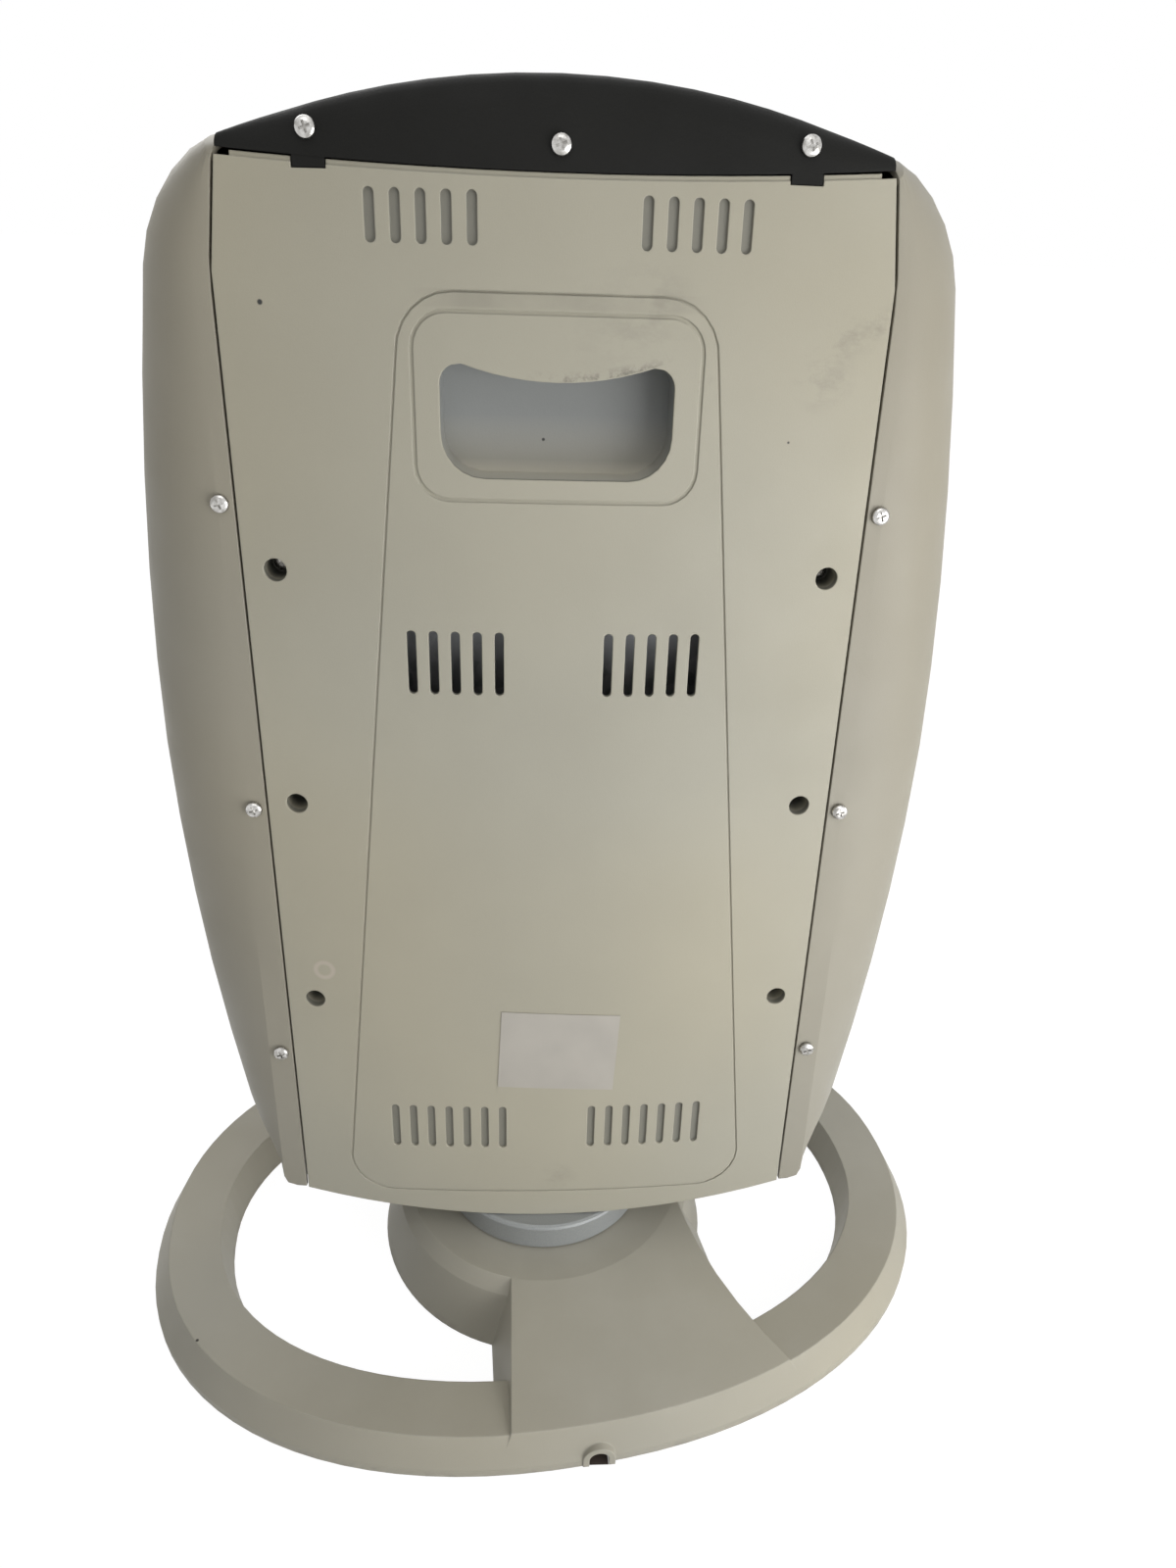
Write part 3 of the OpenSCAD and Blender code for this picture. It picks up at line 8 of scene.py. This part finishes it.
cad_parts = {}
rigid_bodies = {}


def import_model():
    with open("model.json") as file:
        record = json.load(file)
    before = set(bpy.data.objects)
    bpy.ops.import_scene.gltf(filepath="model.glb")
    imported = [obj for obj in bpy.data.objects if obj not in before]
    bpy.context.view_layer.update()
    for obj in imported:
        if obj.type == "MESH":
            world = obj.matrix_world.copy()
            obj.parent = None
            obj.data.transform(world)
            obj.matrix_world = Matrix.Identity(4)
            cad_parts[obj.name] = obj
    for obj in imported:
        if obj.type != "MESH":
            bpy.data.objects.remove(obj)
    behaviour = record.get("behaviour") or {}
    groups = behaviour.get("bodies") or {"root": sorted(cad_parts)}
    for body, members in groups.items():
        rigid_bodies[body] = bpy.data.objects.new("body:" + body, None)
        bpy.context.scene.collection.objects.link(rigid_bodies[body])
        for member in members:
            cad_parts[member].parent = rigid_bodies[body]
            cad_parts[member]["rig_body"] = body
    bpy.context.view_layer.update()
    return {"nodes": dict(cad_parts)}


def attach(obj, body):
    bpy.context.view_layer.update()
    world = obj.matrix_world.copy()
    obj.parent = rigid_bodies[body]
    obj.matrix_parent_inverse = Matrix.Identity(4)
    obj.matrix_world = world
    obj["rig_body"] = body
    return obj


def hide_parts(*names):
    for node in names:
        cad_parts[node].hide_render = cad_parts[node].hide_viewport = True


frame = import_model()


# Base: ring, hub and two bridges, moulded in one piece of warm grey plastic with a fine spark
# texture. Dust settles on its flat tops, the rim near the floor is scuffed, and the cord
# outlet's throat is painted dark as shade.
class Field:
    """A socket in a node tree. An expression on these adds its Math nodes."""

    def __init__(self, tree, socket=None):
        self.tree = tree
        self.socket = socket

    def node(self, kind, inputs, output=0, **settings):
        """Adds a node: its settings first, then the values or links of its sockets."""
        made = self.tree.nodes.new(kind)
        for name, value in settings.items():
            setattr(made, name, value)
        for key, value in inputs.items():
            if isinstance(value, Field):
                self.tree.links.new(value.socket, made.inputs[key])
            else:
                made.inputs[key].default_value = value
        return Field(self.tree, made.outputs[output])

    def maths(self, operation, first, second=0.0):
        return self.node("ShaderNodeMath", {0: first, 1: second}, operation=operation)

    def __add__(self, other):
        return self.maths("ADD", self, other)

    def __sub__(self, other):
        return self.maths("SUBTRACT", self, other)

    def __rsub__(self, other):
        return self.maths("SUBTRACT", other, self)

    def __mul__(self, other):
        return self.maths("MULTIPLY", self, other)

    def __abs__(self):
        return self.maths("ABSOLUTE", self)

    __radd__ = __add__
    __rmul__ = __mul__

    def ramp(self, low, high, start=0.0, end=1.0):
        """Goes from start to end while this field goes from low to high."""
        return self.node("ShaderNodeMapRange", {0: self, 1: low, 2: high, 3: start, 4: end})

    def spread(self, start=0.0, end=1.0):
        """Goes from start to end over the range that noise mostly has."""
        return self.ramp(0.3, 0.7, start, end)

    def part(self, axis):
        return self.node("ShaderNodeSeparateXYZ", {0: self}, output=axis)

    def noise(self, scale, detail=2.0, roughness=0.5, stretch=(1.0, 1.0, 1.0)):
        """Noise over this position."""
        place = self.node("ShaderNodeMapping", {"Vector": self, "Scale": stretch})
        return self.node("ShaderNodeTexNoise",
            {"Vector": place, "Scale": scale, "Detail": detail, "Roughness": roughness})

    def near(self, spot, radius, fade):
        """1 within a radius of a spot, fading to 0."""
        away = self.node("ShaderNodeVectorMath", {0: self, 1: spot}, output="Value", operation="DISTANCE")
        return away.ramp(radius, radius + fade, 1.0, 0.0)

    def mix(self, low, high):
        """Blends two colours, each plain or a field itself, by this field."""
        first, second = (tint if isinstance(tint, Field) else (*tint, 1.0) for tint in (low, high))
        return self.node("ShaderNodeMix", {0: self, 6: first, 7: second}, output=2, data_type="RGBA")


class Material:
    """A Principled material with its constants set, and the object's own position to vary it by."""

    def __init__(self, name, colour, roughness, metallic=0.0, **constants):
        self.made = bpy.data.materials.new(name)
        self.made.use_nodes = True
        self.tree = self.made.node_tree
        self.shader = self.tree.nodes["Principled BSDF"]
        self.shader.inputs["Base Color"].default_value = (*colour, 1.0)
        self.shader.inputs["Roughness"].default_value = roughness
        self.shader.inputs["Metallic"].default_value = metallic
        for socket, value in constants.items():
            self.shader.inputs[socket.replace("_", " ")].default_value = value
        self.place = Field(self.tree).node("ShaderNodeTexCoord", {}, output="Object")

    def set(self, socket, field):
        self.tree.links.new(field.socket, self.shader.inputs[socket])

    def bump(self, height, depth, rounding=0.0):
        """Fine relief, over edges that are rounded by a radius."""
        inputs = {"Height": height, "Distance": depth}
        if rounding:
            inputs["Normal"] = self.edge(rounding)
        self.set("Normal", height.node("ShaderNodeBump", inputs))

    def edge(self, radius):
        return self.place.node("ShaderNodeBevel", {"Radius": radius}, samples=6)

    def highlight_edges(self, radius):
        """1 along the edges of the piece, where the surface turns within a radius: the mask of the painted
        edge highlight.
        """
        flat = self.place.node("ShaderNodeNewGeometry", {}, output="Normal")
        turn = flat.node("ShaderNodeVectorMath", {0: flat, 1: self.edge(radius)},
            output="Value", operation="DOT_PRODUCT")
        nearly_flat, well_turned = 0.995, 0.86
        return turn.ramp(nearly_flat, well_turned)

    def wear(self, *names):
        """Gives this material to CAD nodes."""
        for name in names:
            for slot in frame["nodes"][name].material_slots:
                slot.link = "OBJECT"
                slot.material = self.made


def shade(colour, factor):
    return tuple(min(c * factor, 1.0) for c in colour)


def moulded(name, colour, roughness, mottle=0.05, warm=0.03, grain=2200.0, depth=0.00006,
        rounding=0.0, gloss=0.4):
    """Spark-textured plastic: fine grain, slow drifts of tint, pale specks, and edges painted paler as a
    highlight where a rounding is given.
    """
    made = Material(name, colour, roughness, Specular_IOR_Level=gloss)
    pale_speck, painted_edge_highlight, highlight_share, speck_share, sheen_swing = 1.35, 1.3, 0.55, 0.06, 0.06
    drift = made.place.noise(7.0, detail=3.0).spread()
    tint = made.place.noise(4.0, detail=1.0).ramp(0.35, 0.65)
    warmed = (colour[0] * (1.0 + warm), colour[1], colour[2] * (1.0 - 2.0 * warm))
    cool, yellowed = (drift.mix(shade(c, 1.0 - mottle), shade(c, 1.0 + mottle)) for c in (colour, warmed))
    fine = made.place.noise(grain, roughness=0.6)
    made.tinted = (fine.spread() * speck_share).mix(tint.mix(cool, yellowed), shade(colour, pale_speck))
    # Where a rounding is given, the edges are painted paler: a painted highlight.
    if rounding:
        made.tinted = (made.highlight_edges(rounding) * highlight_share).mix(made.tinted, shade(colour, painted_edge_highlight))
    made.set("Base Color", made.tinted)
    sheen = made.place.noise(30.0, detail=3.0)
    made.set("Roughness", sheen.spread(roughness - sheen_swing, roughness + sheen_swing))
    made.bump(fine, depth, rounding)
    return made


def moulding(name, material, angle, crease=None):
    """Shows a CAD node's own form with its fine facets smoothed, up to an angle in degrees.
    A crease is kept sharp: the least and most x of its line, and the least y."""
    cad = frame["nodes"][name]
    corners = {}
    points = []
    where = []
    for vertex in cad.data.vertices:
        key = tuple(round(c * 1e6) for c in vertex.co)
        if key not in corners:
            corners[key] = len(points)
            points.append(vertex.co.copy())
        where.append(corners[key])
    faces = [[where[v] for v in face.vertices] for face in cad.data.polygons]
    form = bpy.data.meshes.new(name + "_form")
    form.from_pydata(points, [], [face for face in faces if len(set(face)) == len(face)])
    form.polygons.foreach_set("use_smooth", [True] * len(form.polygons))
    form.set_sharp_from_angle(angle=math.radians(angle))
    if crease:
        inner, outer, behind = crease
        for edge in form.edges:
            ends = [points[v] for v in edge.vertices]
            if all(inner < abs(end.x) < outer and end.y > behind for end in ends):
                edge.use_edge_sharp = True
    form.materials.append(material.made)
    piece = bpy.data.objects.new(name + "_moulding", form)
    bpy.context.scene.collection.objects.link(piece)
    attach(piece, cad["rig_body"])
    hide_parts(name)


base_grey = (0.336, 0.322, 0.271)
base_dust = (0.42, 0.40, 0.35)
base_scuff = (0.20, 0.19, 0.16)
outlet_painted_shade = (0.02, 0.014, 0.01)
outlet_throat = (-0.0266, 0.1505, 0.004)
outlet_reach = 0.0125
base_fleck = (0.193, 0.1065, 0.025)
dusty_heights, most_dust = (0.018, 0.026), 0.22
scuffed_heights, most_scuff = (0.001, 0.006), 0.5
base = moulded("base_moulding", base_grey, roughness=0.55, rounding=0.0012)
height = base.place.part("Z")
dust = base.place.noise(26.0, detail=4.0).ramp(0.45, 0.7, 0.0, most_dust)
dust = height.ramp(*dusty_heights) * dust
rub = base.place.noise(90.0, detail=4.0).ramp(0.5, 0.65, 0.0, most_scuff)
rub = height.ramp(*scuffed_heights, 1.0, 0.0) * rub
# The cord outlet's throat is painted dark: painted shade inside the opening.
throat = base.place.near(outlet_throat, radius=outlet_reach, fade=0.001)
fleck = base.place.near(base_fleck, radius=0.0006, fade=0.0005)
worn = rub.mix(dust.mix(base.tinted, base_dust), base_scuff)
base.set("Base Color", (throat + fleck).mix(worn, outlet_painted_shade))
moulding("base_shell", base, angle=8.0)


# Closing plate and feet: a black moulded plate shuts the base from below. Six rubber pads
# under it stand on the floor and keep the ring's rim just clear of it.
plate = moulded("base_plate_moulding", (0.05, 0.05, 0.05), roughness=0.6)
plate.wear("base_plate")
rubber = moulded("foot_rubber", (0.018, 0.018, 0.018), roughness=0.8, grain=900.0)
rubber.wear("rubber_feet")


# Screws: steel with bright zinc plating, fine turning marks and darker recesses. One finish
# serves the screws of the base, gear, collar, bezel, cap, side shells and panel.
zinc_dull, zinc_bright = (0.34, 0.33, 0.31), (0.66, 0.65, 0.63)
zinc = Material("screw_zinc", (0.56, 0.55, 0.53), roughness=0.24, metallic=1.0)
turning = zinc.place.noise(1400.0, detail=3.0)
zinc.set("Roughness", turning.spread(0.16, 0.34))
zinc.set("Base Color", zinc.place.noise(420.0).ramp(0.35, 0.7).mix(zinc_dull, zinc_bright))
zinc.bump(turning, depth=0.00003)
zinc.wear("base_screws", "gear_screws", "collar_screws", "bezel_screws", "cap_screws",
    "side_screws", "panel_screws")


# Slide ring and swing gears: natural nylon, a little waxy. The collar turns on the ring, the
# large gear is screwed to the hub, and the pinion sits on the swing motor's shaft.
nylon = moulded("nylon", (0.72, 0.70, 0.62), roughness=0.42, grain=700.0)
nylon.wear("slide_ring", "fixed_gear", "drive_pinion")


# Switch housings: black mouldings. The tip-over switch sits on the closing plate with its red
# sprung plunger, which the floor holds up; the other two are behind the control fascia.
housing = moulded("black_housing", (0.02, 0.02, 0.022), roughness=0.5)
housing.wear("tip_switch", "selector_switch", "swing_switch")
plunger = moulded("plunger_red", (0.32, 0.03, 0.02), roughness=0.45)
plunger.wear("tip_plunger")


# Swivel collar: drum, crown and hollow spindle in one piece, in silver-grey paint with a soft
# sheen. It turns in the hub and is screwed to the head's shelf.
silver_shadow, silver_flake = (0.25, 0.262, 0.262), (0.33, 0.343, 0.34)
collar = Material("collar_silver", (0.29, 0.30, 0.30), roughness=0.38, metallic=0.2,
    Coat_Weight=0.15, Coat_Roughness=0.3)
flake = collar.place.noise(2600.0)
collar.set("Base Color", flake.ramp(0.35, 0.7).mix(silver_shadow, silver_flake))
collar.set("Roughness", collar.place.noise(40.0, detail=3.0).spread(0.32, 0.46))
collar.bump(flake, depth=0.00003)
moulding("swivel_collar", collar, angle=8.0)


# Clip, selector's shaft and side shells' pillars: plain turned steel. The open clip snaps into
# the spindle's groove and holds the head down.
steel = Material("turned_steel", (0.56, 0.56, 0.57), roughness=0.3, metallic=1.0)
turned = steel.place.noise(300.0, detail=3.0, stretch=(1.0, 6.0, 1.0))
steel.set("Roughness", turned.spread(0.22, 0.4))
steel.bump(turned, depth=0.00004)
steel.wear("spindle_clip", "selector_shaft", "shell_pillars")


# Swing motor: a slow synchronous motor in a zinc-plated can, held on the head's shelf by two
# screws. Its pinion rolls round the fixed gear.
can = Material("motor_can", (0.55, 0.54, 0.49), roughness=0.4, metallic=0.9)
can.set("Roughness", can.place.noise(120.0, detail=3.0).spread(0.3, 0.5))
can.bump(can.place.noise(60.0, detail=3.0), depth=0.0001)
can.wear("swing_motor")


# Chassis and brackets: folded galvanised sheet with its faint crystal pattern. The chassis is
# the head's tray with legs and shelf; the two brackets hold the heating tubes' ends.
spangle_dark, spangle_light = (0.40, 0.41, 0.42), (0.50, 0.51, 0.52)
sheet = Material("galvanised_sheet", (0.52, 0.53, 0.54), roughness=0.45, metallic=0.85)
crystals = sheet.place.node("ShaderNodeTexVoronoi", {"Vector": sheet.place, "Scale": 150.0}, output="Color")
grey = crystals.part("X")
sheet.set("Roughness", grey.ramp(0.0, 1.0, 0.36, 0.55))
sheet.set("Base Color", grey.mix(spangle_dark, spangle_light))
sheet.wear("chassis", "lower_bracket", "upper_bracket")


# Reflector: one folded sheet of polished aluminium behind the tubes, slightly blued and
# dulled by the heat, with faint rolling streaks along its height.
heat_blued, heat_yellowed = (0.84, 0.85, 0.87), (0.90, 0.88, 0.84)
polished = Material("polished_sheet", (0.86, 0.87, 0.88), roughness=0.1, metallic=1.0)
streak = polished.place.noise(40.0, detail=4.0, stretch=(8.0, 8.0, 0.4))
polished.set("Roughness", streak.spread(0.06, 0.18))
polished.set("Base Color", polished.place.noise(9.0).ramp(0.35, 0.7).mix(heat_blued, heat_yellowed))
polished.bump(streak, depth=0.00004)
polished.wear("reflector")


# Heating tubes: clear quartz over coils of dull tungsten, held in white ceramic ends that sit
# in the brackets. The mains terminal block on the shelf is the same ceramic.
quartz = Material("quartz", (0.95, 0.97, 0.98), roughness=0.04, Transmission_Weight=0.9, IOR=1.46)
quartz.set("Roughness", quartz.place.noise(60.0).spread(0.02, 0.08))
quartz.wear("quartz_tubes")
tungsten = Material("tungsten", (0.20, 0.18, 0.17), roughness=0.5, metallic=1.0)
coil = tungsten.place.node("ShaderNodeTexWave", {"Vector": tungsten.place, "Scale": 320.0},
    output="Fac", bands_direction="Z")
tungsten.bump(coil, depth=0.0004)
tungsten.set("Roughness", coil.ramp(0.0, 1.0, 0.35, 0.6))
tungsten.wear("filaments")
ceramic = moulded("ceramic", (0.80, 0.78, 0.72), roughness=0.35, grain=500.0)
ceramic.wear("ceramic_ends", "terminal_block")


# Thermal cut-out: a small body of brown phenolic resin on the chassis, which opens the
# circuit when the head grows too hot.
phenolic = moulded("phenolic", (0.05, 0.035, 0.025), roughness=0.4)
phenolic.wear("thermal_cutout")


# Rear panel: spark-textured moulding, bulged across, in a lighter grey than the base; six deep
# screws hold it. It carries the scuffs beside and over the handle, two specks and a pale ring.
panel_grey = (0.370, 0.355, 0.292)
scuff_grey = (0.13, 0.12, 0.10)
ring_pink = (0.68, 0.57, 0.53)
recess_painted_shade = (0.10, 0.105, 0.10)
speck_black = (0.03, 0.03, 0.03)
panel = moulded("panel_moulding", panel_grey, roughness=0.5, warm=0.035, rounding=0.0008)
spot = panel.place
across, back, up = (spot.part(axis) for axis in "XYZ")
drag = spot.noise(60.0, detail=5.0, roughness=0.7, stretch=(1.0, 1.0, 1.6))
scuffs = sum(
    spot.near(place, radius=core, fade=fade) * drag.ramp(0.46, 0.66, 0.0, strength)
    for place, core, fade, strength in (
        ((-0.1123, 0.0226, 0.5256), 0.002, 0.014, 0.30),
        ((-0.1200, 0.0212, 0.5410), 0.001, 0.010, 0.34),
        ((-0.1300, 0.0197, 0.5440), 0.001, 0.009, 0.26),
        ((-0.1374, 0.0186, 0.5470), 0.001, 0.007, 0.30),
        ((-0.0596, 0.0268, 0.5249), 0.001, 0.006, 0.42),
        ((-0.0280, 0.0272, 0.5411), 0.001, 0.030, 0.15),
        ((-0.0400, 0.0262, 0.5525), 0.001, 0.018, 0.16),
        ((-0.0074, 0.0513, 0.0876), 0.001, 0.012, 0.20),
    )
)
# Hands leave a dirty line just over the opening's curved lip, and a band over its frame.
lip_middle, lip_curve = 0.5216, 4.0
line_foot, line_head, line_middle, most_dirt = (0.0, 0.0004), (0.0008, 0.0045), (-0.018, 0.028, 0.524), 0.6
over_lip = up - (across * across * lip_curve + lip_middle)
hand = over_lip.ramp(*line_foot) * over_lip.ramp(*line_head, 1.0, 0.0)
hand = hand * spot.near(line_middle, radius=0.016, fade=0.016)
hand = hand * spot.noise(260.0, detail=4.0, roughness=0.7).ramp(0.46, 0.6, 0.0, most_dirt)
band_foot, band_head, band_ends = (0.5485, 0.5495), (0.5552, 0.5560), (0.050, 0.062)
band = up.ramp(*band_foot) * up.ramp(*band_head, 1.0, 0.0)
band = band * abs(across).ramp(*band_ends, 1.0, 0.0)
band = band * spot.noise(30.0, detail=4.0).ramp(0.4, 0.6, 0.08, 0.24)
marked = (scuffs + hand + band).mix(panel.tinted, scuff_grey)
ring_middle, ring_outer, ring_inner, ring_fade = (0.1183, 0.0376, 0.2267), 0.0050, 0.0028, 0.0014
pale_ring = spot.near(ring_middle, ring_outer, ring_fade) - spot.near(ring_middle, ring_inner, ring_fade)
ring_strength = 0.25
marked = (pale_ring * ring_strength).mix(marked, ring_pink)
# Depth under the bulged, leaning face: the vents' blind floors and the screw wells are painted darker as
# shade.
bulge, lean, face_y, face_z = 0.46, math.radians(3.0), 0.0538, 0.0406
vent_from, vent_to, vent_shade = (0.0009, 0.0014), (0.0040, 0.0046), 0.6
well_depths, well_shade = (0.005, 0.013), 0.8
sunk = across * across * -bulge - (back - face_y) * math.cos(lean) - (up - face_z) * math.sin(lean)
vent_floors = sunk.ramp(*vent_from) * sunk.ramp(*vent_to, 1.0, 0.0) * vent_shade
wells = sunk.ramp(*well_depths, 0.0, well_shade)
# The vents' floors and the screw wells are painted darker by their depth: painted shade.
marked = (vent_floors + wells).mix(marked, recess_painted_shade)
left_speck, right_speck = (0.1205, 0.0205, 0.5484), (-0.1000, 0.0255, 0.4990)
specks = spot.near(left_speck, radius=0.0008, fade=0.0005)
specks = specks + spot.near(right_speck, radius=0.0004, fade=0.0004)
panel.set("Base Color", specks.mix(marked, speck_black))
moulding("rear_panel", panel, angle=4.0)


# Head floor: a curved strip in the panel's grey, which closes the head over the collar
# between the bezel and the rear panel.
underside = moulded("head_floor_moulding", panel_grey, roughness=0.5)
underside.wear("head_floor")


# Side shells: bulged mouldings in a slightly darker grey, screwed to the pillars, with hand
# marks on the bulge. A creased strip runs down the lower half of their seam.
side_grey = (0.300, 0.284, 0.236)
hand_mark = (0.24, 0.22, 0.18)
crease_line = (0.1505, 0.1536, 0.028)
side = moulded("side_moulding", side_grey, roughness=0.5, rounding=0.0008)
most_smear = 0.14
smear = side.place.noise(14.0, detail=4.0).ramp(0.52, 0.7, 0.0, most_smear)
side.set("Base Color", smear.mix(side.tinted, hand_mark))
moulding("left_shell", side, angle=22.0, crease=crease_line)
moulding("right_shell", side, angle=22.0, crease=crease_line)


# Handle pocket: a smooth, cool grey cup behind the panel's opening. It grows lighter and browner
# towards the bottom, its floor is painted paler still as painted light, and its back has one nick.
cup_grey = (0.255, 0.264, 0.259)
cup_lower_tone, floor_painted_light = (0.42, 0.40, 0.34), (0.60, 0.575, 0.49)
lower_tone_heights, most_lower_tone = (0.486, 0.505), 0.7
floor_heights = (0.4800, 0.4860)
nick_place = (0.0055, 0.0052, 0.4945)
cup = moulded("cup_moulding", cup_grey, roughness=0.36, mottle=0.08, warm=0.0, grain=1400.0)
cup_height = cup.place.part("Z")
low_down = cup_height.ramp(*lower_tone_heights, most_lower_tone, 0.0)
lowest = cup_height.ramp(*floor_heights, 1.0, 0.0)
nick = cup.place.near(nick_place, radius=0.0005, fade=0.0004)
# The cup turns lighter and browner towards the bottom, and its floor is painted paler: painted light.
toned_and_lit = lowest.mix(low_down.mix(cup.tinted, cup_lower_tone), floor_painted_light)
cup.set("Base Color", nick.mix(toned_and_lit, speck_black))
moulding("handle_cup", cup, angle=20.0)


# The rating label's place: a blank foil plate on the panel, slightly wavy and with a soft
# gloss.
foil_dull, foil_bright = (0.385, 0.363, 0.325), (0.42, 0.397, 0.354)
foil = Material("blank_label", (0.40, 0.378, 0.338), roughness=0.45)
wave = foil.place.noise(50.0)
foil.set("Base Color", wave.spread().mix(foil_dull, foil_bright))
foil.set("Roughness", wave.spread(0.42, 0.54))
foil.bump(wave, depth=0.0001)
foil.wear("rating_plate")


# Cap and control fascia: charcoal mouldings with a coarser texture. Three screws hold the cap
# to the fascia's posts, and two tabs reach down over the panel.
charcoal_black = (0.011, 0.011, 0.010)
charcoal = moulded("charcoal", charcoal_black, roughness=0.6, mottle=0.12, warm=0.0, grain=1500.0,
    depth=0.0001, rounding=0.0008, gloss=0.13)
moulding("top_cap", charcoal, angle=18.0)
moulding("control_fascia", charcoal, angle=18.0)


# Front bezel: the panel's moulding without its marks, screwed to the chassis round the grille.
# Its edges are rounded and painted paler as a highlight.
bezel = moulded("bezel_moulding", panel_grey, roughness=0.5, rounding=0.0008)
moulding("front_bezel", bezel, angle=12.0)


# Guard: bright plated wires, welded at their crossings, behind the bezel's opening. Drawing
# marks run finely along the wires.
wire = Material("guard_wire", (0.74, 0.75, 0.76), roughness=0.16, metallic=1.0)
wire.set("Roughness", wire.place.noise(150.0, detail=3.0).spread(0.1, 0.24))
wire.bump(wire.place.noise(500.0), depth=0.00003)
wire.wear("guard_grille")


# Controls in the fascia: a black knob pushed onto the selector's shaft, a grey push button for
# the swing, and an amber lens over the pilot lamp.
knob = moulded("knob_black", (0.022, 0.022, 0.024), roughness=0.4)
knob.wear("heat_knob")
button = moulded("button_grey", (0.11, 0.11, 0.12), roughness=0.45)
button.wear("swing_button")
amber = Material("lamp_amber", (0.55, 0.16, 0.03), roughness=0.12, Transmission_Weight=0.3, Coat_Weight=0.6)
amber.set("Roughness", amber.place.noise(200.0).spread(0.08, 0.18))
amber.wear("power_lamp")


# Floor: a pale, matt stage, no part of the heater. The camera, gloss and glass find it white,
# and it keeps the object's soft shadow. Under the cord outlet's mouth the lift is cut and it is painted
# dark as shadow.
def shows_room(tree):
    """1 for the rays that show the room plainly: the camera's, and those in gloss and glass."""
    kinds = ("Is Camera Ray", "Is Glossy Ray", "Is Transmission Ray")
    return sum(Field(tree).node("ShaderNodeLightPath", {}, output=kind) for kind in kinds).ramp(0.0, 1.0)


white = (1.0, 1.0, 1.0)
floor_grey = (0.56, 0.555, 0.54)
mouth_painted_shadow = (0.05, 0.036, 0.03)
floor_size = 40.0
lift_share = 0.80
lift_strength = 1.19  # times its share it stays under 1, which is white
base_turn = 0.0698  # the base stands about 4 degrees turned under the head: a slope
mouth_left, mouth_right = (-0.0214, -0.0212), (-0.0108, -0.0106)
mouth_inner, mouth_outer = (0.120, 0.121), (0.1656, 0.1660)
bpy.ops.mesh.primitive_plane_add(size=floor_size, location=(0.0, 0.0, 0.0))
floor = bpy.context.object
floor.name = "floor"
pale = Material("pale_floor", floor_grey, roughness=0.9)
along = pale.place.part("Y")
aside = pale.place.part("X") + along * base_turn
mouth = aside.ramp(*mouth_left) * aside.ramp(*mouth_right, 1.0, 0.0)
mouth = mouth * along.ramp(*mouth_inner) * along.ramp(*mouth_outer, 1.0, 0.0)
# Under the outlet's mouth the floor's colour is painted dark: a painted shadow.
pale.set("Base Color", mouth.mix(floor_grey, mouth_painted_shadow))
lift = pale.place.node("ShaderNodeEmission", {"Color": (*white, 1.0), "Strength": lift_strength})
matt = Field(pale.tree, pale.shader.outputs[0])
share = shows_room(pale.tree) * (1.0 - mouth) * lift_share
lifted = pale.place.node("ShaderNodeMixShader", {0: share, 1: matt, 2: lift})
pale.tree.links.new(lifted.socket, pale.tree.nodes["Material Output"].inputs["Surface"])
floor.data.materials.append(pale.made)


# Studio light: a white room, dimmer on the photograph's left, one soft key at its right, and
# softer lamps above and at the front. The camera, gloss and glass see the room as plain white.
glow_middle, glow_slope = 0.41, -0.13
room = bpy.data.worlds.new("room")
room.use_nodes = True
air = Field(room.node_tree)
air.tree.nodes.remove(air.tree.nodes["Background"])
glow = air.node("ShaderNodeTexCoord", {}, output="Generated").part("X") * glow_slope + glow_middle
dim = air.node("ShaderNodeBackground", {"Color": (*white, 1.0), "Strength": glow})
plain = air.node("ShaderNodeBackground", {"Color": (*white, 1.0), "Strength": 1.0})
seen = air.node("ShaderNodeMixShader", {0: shows_room(air.tree), 1: dim, 2: plain})
air.tree.links.new(seen.socket, air.tree.nodes["World Output"].inputs["Surface"])
bpy.context.scene.world = room
lit_middle = Vector((0.0, 0.0, 0.3))
for name, place, size, power in (
    ("key", (-0.60, 0.58, 0.20), 0.8, 8.2),
    ("top", (0.0, 1.4, 2.2), 1.6, 10.0),
    ("front", (0.6, -2.0, 1.6), 1.8, 18.0),
):
    lamp = bpy.data.lights.new(name, "AREA")
    lamp.size = size
    lamp.energy = power
    holder = bpy.data.objects.new(name, lamp)
    bpy.context.scene.collection.objects.link(holder)
    facing = (lit_middle - Vector(place)).to_track_quat("-Z", "Y").to_matrix().to_4x4()
    holder.matrix_world = Matrix.Translation(place) @ facing


# Camera at the photograph's place, fitted from the base's ellipses and the panel's features:
# where it stands, the directions of its view, and its lens.
viewpoint = (0.01105, 0.5030, 0.5837)
right = Vector((-0.99850574, 0.04562625, 0.03007541))
down = Vector((-0.00533413, 0.46635455, -0.88458181))
ahead = Vector((-0.05438595, -0.88342044, -0.46541432))
camera = bpy.data.objects.new("camera", bpy.data.cameras.new("camera"))
camera.data.sensor_fit = "VERTICAL"
camera.data.sensor_height = 36.0
camera.data.lens = 24.87
camera.matrix_world = Matrix.Translation(viewpoint) @ Matrix((right, -down, -ahead)).transposed().to_4x4()
bpy.context.scene.collection.objects.link(camera)
bpy.context.scene.camera = camera
bpy.context.scene.view_settings.view_transform = "Standard"
